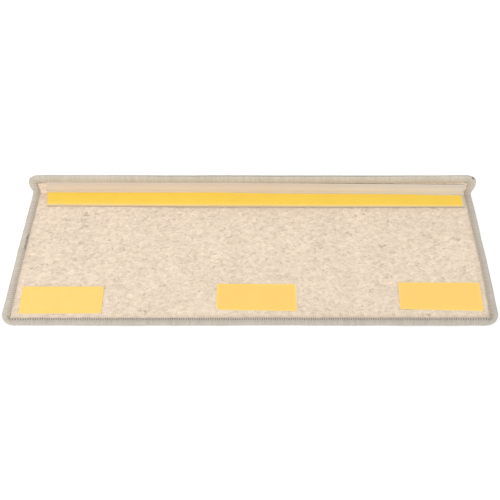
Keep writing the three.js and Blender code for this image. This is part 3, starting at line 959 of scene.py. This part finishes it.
    def section(self):
        """Inset, height and outward direction of the wound section at even steps along it, from its top tip
        round the outside to its bottom tip. The inset follows a cosine, and the height the square root of a
        sine, which makes a full oval that is cut off at the tips."""
        angle = np.linspace(self.TIP_ANGLE, 2 * np.pi - self.TIP_ANGLE, self.OVAL_POINTS)
        inset = self.sizes.whip_width * (1 + np.cos(angle)) / (1 + np.cos(self.TIP_ANGLE))
        half = self.sizes.whip_height / 2
        height = half + half * np.sign(np.sin(angle)) * np.abs(np.sin(angle)) ** self.FULLNESS
        travelled = np.concatenate([[0], np.cumsum(np.hypot(np.diff(inset), np.diff(height)))])
        even = np.linspace(0, travelled[-1], self.OUTSIDE_POINTS)
        inset, height = np.interp(even, travelled, inset), np.interp(even, travelled, height)
        ahead = np.stack([np.gradient(inset), np.gradient(height)])
        ahead /= np.hypot(*ahead)
        return [value[None, :] for value in (inset, height, ahead[1], -ahead[0], even)]

    def wound(self):
        """Inset and height of every point, and how far along the section each column lies. The grooves
        between the turns sink into the section. The turns' ends are rounded and end unevenly, with a needle
        hole between each two. They end further back in the open gap, and rise over the angle on the nose."""
        sizes = self.sizes
        inset, height, out_inset, out_height, travelled = self.section()
        sink = sizes.wrap_groove * (1 - self.ridge) + self.SINK_UNEVEN * (1 + self.fullness)
        sink = sink + self.START_DEPTH * self.start
        in_gap = self.on_left * (1 - ease(self.from_gap, *self.GAP_DEPTH_FADES))
        gap = in_gap * ease(-self.side, *self.GAP_DEEPENS)
        gap = gap * (self.GAP_DEPTH + self.GAP_DEPTH_UNEVEN * self.length_change)
        rounded = self.hole * ease(np.abs(self.side), *self.ROUNDED_TIP)
        shortened = self.TIP_UNEVEN * self.at_tip * self.length_change + self.HOLE_DEPTH * (rounded + gap)
        waver = sum(size * np.sin(times * self.round_rim + turned) for size, times, turned in self.WAVES)
        outwards = sizes.whip_waver * (waver - self.WAVER_INWARDS) * (1 - inset / sizes.whip_width)
        widened = inset * self.carpet.yarn_width(self.x, self.s) / sizes.whip_width
        lifted = self.NOSE_LIFT * self.on_nose * ease(-self.side, *self.LIFTED_TIP)
        core_end = sizes.whip_width - self.CORE_SHORT
        core_inset = np.array([core_end, sizes.whip_edge, sizes.whip_edge, core_end])
        inset = self.with_core(widened - sink * out_inset - shortened - outwards, core_inset)
        height = self.with_core(height - sink * out_height + lifted, self.CORE_HEIGHTS)
        travel = np.concatenate([travelled[0], travelled[0, -1] + self.CORE_TRAVEL])
        return inset, np.maximum(height, 0), travel

    def with_core(self, outside, core):
        """Adds the core's columns to those of the wound outside."""
        return np.concatenate([outside, np.broadcast_to(core, (self.steps, len(self.CORE_HEIGHTS)))], 1)

    def values(self):
        """What the yarn's finish reads for each point: how far it lies in a hollow, towards the felt and in
        a hole, and its painted light and shade as a tone. The holes show least on the nose and the sides. The
        front gets painted shade, its turns' ends and the nose's outside painted light, and the open gap
        painted shade beside paler ends, a painted highlight."""
        side, ridge, on_nose = self.side, self.ridge, self.on_nose
        on_side = self.carpet.on_side(self.x, self.s)
        shown = 1 - np.maximum(self.HIDDEN_ON_NOSE * on_nose, self.HIDDEN_ON_SIDES * on_side)
        # inner: the darker stitches near the felt with painted shade, lightened at the turns' ends as a
        # painted highlight
        inner = ease(np.abs(side), *self.INNER_COLOUR)
        nose_ends = on_nose * ease(np.abs(self.x), *self.INNER_NOSE_ENDS)
        inner = inner * (1 - self.INNER_LESS_ON_NOSE * nose_ends)
        inner = inner * (1 - self.INNER_LESS_AT_TIP * self.at_tip * ridge * shown)
        # Painted shade in the open gap, and a painted highlight on the turns' ends beside it
        in_gap = self.on_left * (1 - ease(self.from_gap, *self.GAP_COLOURS_FADE))
        open_gap = in_gap * ease(-side, *self.GAP_DARKENS)
        open_gap = open_gap * (1 - self.GAP_PALER * ease(-side, *self.GAP_PALES))
        open_gap = open_gap * (self.GAP_DARKNESS + self.GAP_DARKNESS_UNEVEN * self.length_change)
        beside_gap = in_gap * ease(-side, *self.PALE_ENDS_BEGIN) * (1 - ease(-side, *self.PALE_ENDS_END))
        share = self.x / self.carpet.half_width
        front = 1 - ease(self.s, *self.FRONT_BAND)
        nose_outside = on_nose * (1 - ease(-side, *self.OUTSIDE_ENDS))
        # tone: painted light and shade, darker along the front, lighter on the left side and darker on the
        # right, lighter on the nose's outside, with highlights on the turns' ends
        tone = (self.FRONT_TONE + self.FRONT_TONE_RIGHT * share) * front
        tone = tone + (self.SIDE_TONE + self.SIDE_TONE_RIGHT * share) * (1 - front) * (1 - on_nose)
        at_ends = ease(np.abs(share), *self.TONE_NOSE_ENDS)
        tone = tone + nose_outside * (self.NOSE_TONE + self.NOSE_TONE_ENDS * at_ends)
        tone = tone + self.FRONT_TIP_TONE * front * self.at_tip * ridge**2
        tone = tone + self.GAP_TIP_TONE * beside_gap * ridge
        # needle: painted shade in the needle holes and the open gap; the yarn's start takes the same dark
        # colour
        needle = np.maximum(np.maximum(self.HOLE_SHARE * self.hole * shown, self.start), open_gap)
        return {
            "hollow": self.with_core(1 - ridge, 1),
            "inner": self.with_core(inner, 1),
            "needle": self.with_core(needle, 1),
            "tone": self.with_core(tone, 0),
        }


class TREADMAT_OT_whipping(bpy.types.Operator):
    """Makes the yarn that is wound over the carpet's edge all round"""

    bl_idname = "tread_mat.whipping"
    bl_label = "Edge Whipping"

    def execute(self, context):
        """The wound section is carried round the rim and folded with the carpet. Its UV map counts the turns
        one way and the pitches along the section the other way."""
        carpet = Carpet(context.scene.tread_mat_sizes)
        turns = Turns(carpet)
        inset, height, travel = turns.wound()
        x, s = carpet.rim(turns.along, inset)
        points = carpet.folded(x, s, height)
        quads, corner_rows, corner_columns = lattice(*inset.shape, (True, True))
        turn_number = corner_rows / turns.STEPS_PER_TURN + 0.5
        uv = np.stack([turn_number, travel[corner_columns] / carpet.sizes.wrap_pitch], -1)
        piece = new_piece("whipping", points, [quads], ["edge_whipping"], uv, turns.values())
        finish_for(piece, yarn_finish(context.scene.tread_mat_colours))
        return {"FINISHED"}


def corners_of(node_name):
    """The four corners of a flat node's top face, anticlockwise from the front left-hand one, and the
    heights of its two faces, read from the node's own points."""
    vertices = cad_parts[node_name].data.vertices
    points = np.empty(3 * len(vertices), np.float32)
    vertices.foreach_get("co", points)
    points = points.reshape(-1, 3).astype(float)
    top = points[points[:, 2] > points[:, 2].mean()][:, :2]
    middle = top.mean(0)
    quarters = [(-1, -1), (1, -1), (1, 1), (-1, 1)]
    corners = [top[np.argmax((top - middle) @ np.array(quarter))] for quarter in quarters]
    return np.array(corners), points[:, 2].min(), points[:, 2].max()


class Sheet:
    """A thin level sheet over a flat node's top face. u runs from its left to its right-hand edge and v from
    its front to its back edge, and its points are shared evenly between the node's four corners, each of
    which may be moved a little."""

    # How far in the edges are uneven, the sizes and grains of their waver, of the hills and of the edges'
    # lift, and how far and how much the colour is worn at the very edge
    EDGE_REACH = 2.5 * MM
    WAVER, WAVER_GRAIN = 0.12 * MM, 14 * MM
    HILL, HILL_GRAIN = 0.06 * MM, 17 * MM
    LIFT_GRAIN = 30 * MM
    WORN_REACH, WORN_SHARE = 0.3 * MM, 0.35

    def __init__(self, node_name, spacing, moves=0.0):
        corners, self.low, self.high = corners_of(node_name)
        corners = corners + moves
        across = np.linalg.norm(corners[1] - corners[0])
        away = np.linalg.norm(corners[3] - corners[0])
        columns, rows = int(across / spacing) + 1, int(away / spacing) + 1
        u, v = np.meshgrid(np.linspace(0, 1, columns), np.linspace(0, 1, rows))
        place = np.stack([(1 - u) * (1 - v), u * (1 - v), u * v, (1 - u) * v], -1) @ corners
        self.node_name = node_name
        self.x, self.y = place[..., 0], place[..., 1]
        self.rise = np.zeros_like(u)
        self.from_front, self.from_back = v * away, (1 - v) * away
        self.from_left, self.from_right = u * across, (1 - u) * across
        sides = np.minimum(self.from_left, self.from_right)
        self.from_edge = np.minimum(np.minimum(self.from_front, self.from_back), sides)

    def roughen(self, seed, edge_lift):
        """Lets the sheet's edges waver, and lifts it by low hills and unevenly along its edges."""
        at_edge = 1 - ease(self.from_edge, 0, self.EDGE_REACH)
        hill = hills(self.x, self.y, self.HILL_GRAIN, seed + 2)
        lift = 0.5 + 0.5 * hills(self.x, self.y, self.LIFT_GRAIN, seed + 3)
        self.rise = self.rise + self.HILL * (1 + hill) + edge_lift * at_edge * lift
        across, away = (hills(self.x, self.y, self.WAVER_GRAIN, seed + axis) for axis in (0, 1))
        self.x, self.y = self.x + self.WAVER * at_edge * across, self.y + self.WAVER * at_edge * away

    def worn_edge(self):
        """How far the paper's colour is worn off its very edge"""
        return np.where(self.from_edge < self.WORN_REACH, self.WORN_SHARE, 0.0)

    def make(self, name, slot, values=None):
        """Makes the piece: its top, its bottom and a wall all round."""
        rows, columns = self.x.shape
        heights = (self.high + self.rise, self.low + self.rise)
        levels = [np.stack([self.x, self.y, height], -1).reshape(-1, 3) for height in heights]
        quads, _, _ = lattice(rows, columns)
        ring = border(rows, columns)
        below = ring + rows * columns
        wall = np.stack([np.roll(ring, -1), ring, below, np.roll(below, -1)], -1)
        faces = [quads, quads[:, ::-1] + rows * columns, wall]
        whole = {key: np.tile(numbers.ravel(), 2) for key, numbers in (values or {}).items()}
        points = np.concatenate(levels)
        return new_piece(name, points, faces, [self.node_name], None, whole, SHARP_DEGREES)


class FoldLine:
    """How the angle and what sticks to it follow the fold, which lies askew: its corner goes with the fold,
    and its free edge keeps straighter, but lies further back at both ends, by the square of the distance.
    The left-hand end is cut askew, and the right-hand one a little short."""

    FREE_EDGE_SKEW = 1.4 * MM
    FREE_EDGE_BOW = 0.85 * MM
    FREE_EDGE_BACK = 0.65 * MM
    LEFT_END_SKEW = 2.4 * MM
    RIGHT_END_SHORT = 0.7 * MM
    END_REACH = 40 * MM

    def __init__(self, carpet):
        self.carpet = carpet
        self.low, self.high = (np.array(corner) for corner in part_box("nosing_angle"))
        self.corner = CAD_LOW[1] + carpet.flat_length

    def share(self, y):
        """0 at the free edge and 1 from the corner on."""
        return np.clip((y - self.low[1]) / (self.corner - self.low[1]), 0, 1)

    def settled(self, x, y):
        share = self.share(y)
        across = x / self.carpet.half_width
        free_edge = self.FREE_EDGE_SKEW * across - self.FREE_EDGE_BOW * across**2 - self.FREE_EDGE_BACK
        forward = self.carpet.fold_shift(x) * share + free_edge * (1 - share)
        at_left = self.LEFT_END_SKEW * (1 - share) * (1 - ease(x - self.low[0], 0, self.END_REACH))
        at_right = self.RIGHT_END_SHORT * (1 - ease(self.high[0] - x, 0, self.END_REACH))
        return x + at_left - at_right, y - forward


def bar(outline, low, high, stations, settle):
    """Points and faces of a closed bar: an outline of y and z, anticlockwise seen from the right, carried
    from one x to another and then settled into place."""
    x = np.linspace(low, high, stations)[:, None]
    x, y, z = np.broadcast_arrays(x, outline[:, 0], outline[:, 1])
    x, y = settle(x, y)
    quads, _, _ = lattice(stations, len(outline), (False, True))
    end = np.arange(len(outline))[None, :]
    return np.stack([x, y, z], -1).reshape(-1, 3), [quads, end[:, ::-1], end + (stations - 1) * len(outline)]


def box_outline(low, high):
    """The outline of a box seen from the right"""
    return np.array([(low[1], low[2]), (high[1], low[2]), (high[1], high[2]), (low[1], high[2])])


class TREADMAT_OT_angle(bpy.types.Operator):
    """Makes the plastic angle in the fold and the tapes that bond it"""

    bl_idname = "tread_mat.angle"
    bl_label = "Plastic Angle"

    # The plastic's thickness, the tape behind it, the radius of its rounded edges, its points along the fold,
    # and its free edge's waver and painted shade
    THICKNESS = 1.5 * MM
    BOND = 0.3 * MM
    ROUNDING = 0.5 * MM
    STATIONS = 160
    EDGE_WAVER, WAVER_GRAIN = 0.15 * MM, 45 * MM
    SOILED_EDGE = (0.1 * MM, 0.6 * MM)
    SOILED_SHARE = 0.85

    def outline(self, carpet, low, high):
        """Two straight legs joined by quarter arcs about the fold's centre line, with rounded free edges"""
        centre = CAD_LOW[1] + carpet.flat_length, carpet.radius
        outer = carpet.sizes.fold_radius - self.BOND
        round_edge, thick = self.ROUNDING, self.THICKNESS
        # Each arc's centre, radius, start and end in degrees, and number of points
        arcs = [
            (low[1] + round_edge, low[2] + round_edge, round_edge, 180, 270, 5),
            (*centre, outer, -90, 0, 13),
            (high[1] - round_edge, high[2] - round_edge, round_edge, 0, 90, 5),
            (high[1] - thick + round_edge, high[2] - round_edge, round_edge, 90, 180, 5),
            (*centre, outer - thick, 0, -90, 13),
            (low[1] + round_edge, low[2] + thick - round_edge, round_edge, 90, 180, 5),
        ]
        turns = [np.radians(np.linspace(start, end, steps)) for *_, start, end, steps in arcs]
        parts = [
            np.stack([y + radius * np.cos(turn), z + radius * np.sin(turn)], -1)
            for (y, z, radius, *_), turn in zip(arcs, turns)
        ]
        return np.concatenate(parts)

    def execute(self, context):
        """The angle's outline is carried along the fold. Its free edge also wavers slightly."""
        carpet = Carpet(context.scene.tread_mat_sizes)
        colours = context.scene.tread_mat_colours
        line = FoldLine(carpet)
        outline = self.outline(carpet, line.low, line.high)

        def settle(x, y):
            free = 1 - line.share(y)
            x, y = line.settled(x, y)
            return x, y + self.EDGE_WAVER * free * hills(x, 0.0, self.WAVER_GRAIN, seed=31)

        points, faces = bar(outline, line.low[0], line.high[0], self.STATIONS, settle)
        # Painted shade along the angle's free edge
        soiled = self.SOILED_SHARE * (1 - ease(outline[:, 0] - line.low[1], *self.SOILED_EDGE))
        values = {"soiled": np.tile(soiled, self.STATIONS)}
        nodes = ["nosing_angle"]
        piece = new_piece("angle", points, faces, nodes, None, values, SHARP_DEGREES)
        finish_for(piece, plastic_finish(colours))
        self.make_bonds(line, colours)
        return {"FINISHED"}

    def make_bonds(self, line, colours):
        """Makes the two tapes under the angle's legs, as one piece."""
        names = ("angle_bond_tread", "angle_bond_nose")
        boxes = [[np.array(corner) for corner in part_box(name)] for name in names]
        bars = [
            bar(box_outline(low, high), low[0], high[0], self.STATIONS, line.settled) for low, high in boxes
        ]
        points = np.concatenate([places for places, _ in bars])
        faces = bars[0][1] + [group + len(bars[0][0]) for group in bars[1][1]]
        bonds = new_piece("angle_bonds", points, faces, names, sharp_degrees=SHARP_DEGREES)
        finish_for(bonds, tape_finish("bond_tape", colours.adhesive))


class TREADMAT_OT_strip(bpy.types.Operator):
    """Makes the long yellow strip on the angle, with its adhesive"""

    bl_idname = "tread_mat.strip"
    bl_label = "Adhesive Strip"

    # Spacing of the two grids' points, and how high the paper's edges lift
    TAPE_SPACING, PAPER_SPACING = 3 * MM, 1.6 * MM
    EDGE_LIFT = 0.1 * MM

    # How far each end is cut in at the strip's front edge, how much further in at its back edge, and how far
    # from the end the cut tells
    LEFT_CUT, LEFT_SKEW = 1.1 * MM, 1.2 * MM
    RIGHT_CUT, RIGHT_SKEW = 1.8 * MM, -1.1 * MM
    END_REACH = 40 * MM

    # The rounded corner at the back on the right-hand side: its reach, and its moves across and forward
    CORNER_REACH = 6 * MM
    CORNER_IN, CORNER_FORWARD = 0.6 * MM, 0.8 * MM

    # How far the strip lies back, how far its back edge comes forward on the right, and its wave's measures
    LIES_BACK = 0.5 * MM
    BACK_FORWARD, BACK_REACH = 1.3 * MM, 120 * MM
    WAVE, WAVE_SLOPE, WAVE_REACH = 0.7 * MM, 38 * MM, 90 * MM

    # The paler margin along the front edge, a painted highlight, and how much wider it gets to the left
    MARGIN, MARGIN_WIDER, MARGIN_SHARE = 3.2 * MM, 1.3 * MM, 0.9
    WIDER_ACROSS = (-250 * MM, 0)

    def execute(self, context):
        """The paper and its tape go with the angle. The strip's ends were cut and laid askew, and its back
        edge comes forward at the right-hand end, and waves in the middle: a line times a bell curve."""
        colours = context.scene.tread_mat_colours
        line = FoldLine(Carpet(context.scene.tread_mat_sizes))
        tape, paper = Sheet("strip_tape", self.TAPE_SPACING), Sheet("strip_liner", self.PAPER_SPACING)
        for sheet in (tape, paper):
            self.lay(sheet, line)
        finish_for(tape.make("strip_adhesive", "tape"), tape_finish("strip_tape", colours.strip_tape))
        paper.roughen(seed=41, edge_lift=self.EDGE_LIFT)
        # margin: a paler front edge that is a painted highlight
        margin = self.MARGIN + self.MARGIN_WIDER * (1 - ease(paper.x, *self.WIDER_ACROSS))
        values = {
            "margin": self.MARGIN_SHARE * (1 - ease(paper.from_front, 0, margin)),
            "worn": paper.worn_edge(),
        }
        piece = paper.make("strip_paper", "strip_liner", values)
        finish_for(piece, paper_finish("strip_paper", colours.strip, colours.strip_edge, colours))
        return {"FINISHED"}

    def lay(self, sheet, line):
        """Moves a sheet's points with the angle, and by the strip's own unevenness. share is 0 at the
        angle's free edge and 1 at its corner."""
        share = line.share(sheet.y)
        near_left = 1 - ease(sheet.from_left, 0, self.END_REACH)
        near_right = 1 - ease(sheet.from_right, 0, self.END_REACH)
        corner = np.clip(1 - np.hypot(sheet.from_right, sheet.from_back) / self.CORNER_REACH, 0, 1) ** 2
        x, y = line.settled(sheet.x, sheet.y)
        at_left = (self.LEFT_CUT + self.LEFT_SKEW * share) * near_left
        at_right = (self.RIGHT_CUT + self.RIGHT_SKEW * share) * near_right
        sheet.x = x - at_left - at_right - self.CORNER_IN * corner
        on_right = self.BACK_FORWARD * (1 - ease(sheet.from_right, 0, self.BACK_REACH))
        wave = self.WAVE * sheet.x / self.WAVE_SLOPE * np.exp(-((sheet.x / self.WAVE_REACH) ** 2))
        sheet.y = y + self.LIES_BACK - share * (on_right + wave) - self.CORNER_FORWARD * corner


class TREADMAT_OT_pads(bpy.types.Operator):
    """Makes the three yellow pads along the front"""

    bl_idname = "tread_mat.pads"
    bl_label = "Adhesive Pads"

    # Spacing of the papers' points, how high their edges lift, how high each one's curled corner stands, and
    # how far its four corners are moved, across and away
    SPACING = 1.1 * MM
    EDGE_LIFT = 0.14 * MM
    CURLED_CORNER = {"left": 0, "middle": 1.1 * MM, "right": 0}
    CORNER_MOVES_MM = {
        "left": ((-0.7, 0.2), (1.1, 0.1), (1.6, 0.3), (-1.0, 0.2)),
        "middle": ((0, 0.7), (-0.3, -0.3), (-0.9, -0.6), (0, 0.3)),
        "right": ((-1, -0.6), (2, 0.9), (1.3, 1.3), (-1.6, 1.9)),
    }

    # The curled corner: its reach, its pale back's width at the front and the blend beside it, and the
    # yellower edge of each paper
    CURL_REACH = 9 * MM
    CURLED_BACK = 2.6 * MM
    BACK_BLEND = (-1.1 * MM, 0.2 * MM)
    MARGIN, MARGIN_SHARE = (0.5 * MM, 7 * MM), 0.6

    def execute(self, context):
        """The papers are cut a little askew: their corners are moved, anticlockwise from the front left-hand
        one. The paper of one pad curls up at that corner, by the square of the nearness to it, and shows its
        pale back in a wedge along its left edge."""
        colours = context.scene.tread_mat_colours
        pale = paper_finish("left_pad_paper", colours.left_pad, colours.pad_edge, colours)
        deep = paper_finish("pad_paper", colours.pad, colours.pad_edge, colours)
        finishes = {"left": pale, "middle": deep, "right": deep}
        tape = tape_finish("pad_tape", colours.adhesive)
        for number, (name, lift) in enumerate(self.CURLED_CORNER.items()):
            paper = Sheet(f"pad_{name}_liner", self.SPACING, np.array(self.CORNER_MOVES_MM[name]) * MM)
            paper.roughen(seed=50 + 5 * number, edge_lift=self.EDGE_LIFT)
            near_corner = np.clip(1 - np.hypot(paper.from_left, paper.from_front) / self.CURL_REACH, 0, 1)
            paper.rise = paper.rise + lift * near_corner**2
            wedge = self.CURLED_BACK * np.clip(1 - paper.from_front / self.CURL_REACH, 0, 1)
            curled = (lift > 0) * (1 - ease(paper.from_left - wedge, *self.BACK_BLEND))
            values = {
                "margin": self.MARGIN_SHARE * (1 - ease(paper.from_edge, *self.MARGIN)),
                "worn": np.maximum(paper.worn_edge(), curled),
            }
            finish_for(paper.make(f"pad_{name}_paper", "pad_liner", values), finishes[name])
            finish_for(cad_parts[f"pad_{name}_tape"], tape)
        return {"FINISHED"}


class TREADMAT_OT_stage(bpy.types.Operator):
    """Makes the floor, the light and the camera"""

    bl_idname = "tread_mat.stage"
    bl_label = "Stage"

    def execute(self, context):
        self.add_floor()
        self.light_up(context.scene)
        self.add_camera(context.scene)
        context.scene.view_settings.view_transform = "Standard"
        return {"FINISHED"}

    def add_floor(self):
        """A level white square under the mat. It glows a little, only where the camera sees it, so that it
        is white away from the mat and keeps the mat's shadow."""
        half = FLOOR_SIZE / 2
        mesh = bpy.data.meshes.new("floor")
        corners = [(-half, -half, 0), (half, -half, 0), (half, half, 0), (-half, half, 0)]
        mesh.from_pydata(corners, [], [(0, 1, 2, 3)])
        floor = bpy.data.objects.new("floor", mesh)
        bpy.context.scene.collection.objects.link(floor)
        floor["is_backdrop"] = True
        finish = Finish("floor", Roughness=0.9, Specular_IOR_Level=0.0)
        finish.set("Base Color", (FLOOR_TONE, FLOOR_TONE, FLOOR_TONE))
        seen = finish.node("LightPath", {}, output="Is Camera Ray")
        finish.set("Emission Color", (1, 1, 1))
        finish.set("Emission Strength", finish.math("MULTIPLY", seen, FLOOR_GLOW))
        finish_for(floor, finish.material)

    def light_up(self, scene):
        """An even white sky that is fully white to the camera and in reflections, and one broad lamp."""
        scene.world = scene.world or bpy.data.worlds.new("sky")
        scene.world.use_nodes = True
        tree = scene.world.node_tree
        tree.nodes.clear()
        path = tree.nodes.new("ShaderNodeLightPath")
        strength = tree.nodes.new("ShaderNodeMapRange")
        strength.inputs["To Min"].default_value = SKY_STRENGTH
        strength.inputs["To Max"].default_value = 1.0
        seen = path.outputs["Is Camera Ray"]
        for name in ("Is Glossy Ray", "Is Transmission Ray"):
            either = tree.nodes.new("ShaderNodeMath")
            either.operation = "MAXIMUM"
            tree.links.new(seen, either.inputs[0])
            tree.links.new(path.outputs[name], either.inputs[1])
            seen = either.outputs[0]
        tree.links.new(seen, strength.inputs["Value"])
        sky = tree.nodes.new("ShaderNodeBackground")
        sky.inputs["Color"].default_value = (1, 1, 1, 1)
        tree.links.new(strength.outputs[0], sky.inputs["Strength"])
        tree.links.new(sky.outputs[0], tree.nodes.new("ShaderNodeOutputWorld").inputs["Surface"])
        lamp = bpy.data.lights.new("lamp", "AREA")
        lamp.energy = LAMP_WATTS
        lamp.size = LAMP_SIZE
        holder = bpy.data.objects.new("lamp", lamp)
        scene.collection.objects.link(holder)
        holder.location = LAMP_PLACE
        aim = -holder.location.normalized()
        holder.rotation_euler = aim.to_track_quat("-Z", "Y").to_euler()

    def add_camera(self, scene):
        """A camera with the photograph's place, tilt and lens. Its shift moves the lens's centre to where it
        lies in the photograph."""
        camera = bpy.data.cameras.new("camera")
        camera.sensor_width = SENSOR_MM
        camera.lens = LENS_PIXELS / PICTURE_PIXELS * SENSOR_MM
        camera.shift_x = 0.5 - CENTRE_PIXEL_ACROSS / PICTURE_PIXELS
        holder = bpy.data.objects.new("camera", camera)
        scene.collection.objects.link(holder)
        holder.location = [place * MM for place in EYE_MM]
        holder.rotation_euler = (np.radians(90 - LOOK_DOWN_DEGREES), 0, 0)
        scene.camera = holder


OPERATORS = (
    TREADMAT_OT_pile,
    TREADMAT_OT_felt,
    TREADMAT_OT_whipping,
    TREADMAT_OT_angle,
    TREADMAT_OT_strip,
    TREADMAT_OT_pads,
    TREADMAT_OT_stage,
)


class TREADMAT_PT_panel(bpy.types.Panel):
    """Lists the mat's pieces, its sizes and its colours"""

    bl_idname = "TREADMAT_PT_panel"
    bl_label = "Tread Mat"
    bl_space_type = "VIEW_3D"
    bl_region_type = "UI"
    bl_category = "Tread Mat"

    def draw(self, context):
        column = self.layout.column()
        for operator in OPERATORS:
            column.operator(operator.bl_idname)
        for group in (context.scene.tread_mat_sizes, context.scene.tread_mat_colours):
            for name in group.__annotations__:
                column.prop(group, name)


CLASSES = (TreadMatSizes, TreadMatColours, *OPERATORS, TREADMAT_PT_panel)


def register():
    for each in CLASSES:
        bpy.utils.register_class(each)
    bpy.types.Scene.tread_mat_sizes = bpy.props.PointerProperty(type=TreadMatSizes)
    bpy.types.Scene.tread_mat_colours = bpy.props.PointerProperty(type=TreadMatColours)


def unregister():
    del bpy.types.Scene.tread_mat_colours
    del bpy.types.Scene.tread_mat_sizes
    for each in reversed(CLASSES):
        bpy.utils.unregister_class(each)


def main():
    """Registers the classes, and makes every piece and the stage."""
    register()
    for operator in OPERATORS:
        getattr(bpy.ops.tread_mat, operator.bl_idname.split(".")[1])()


if __name__ == "__main__":
    main()
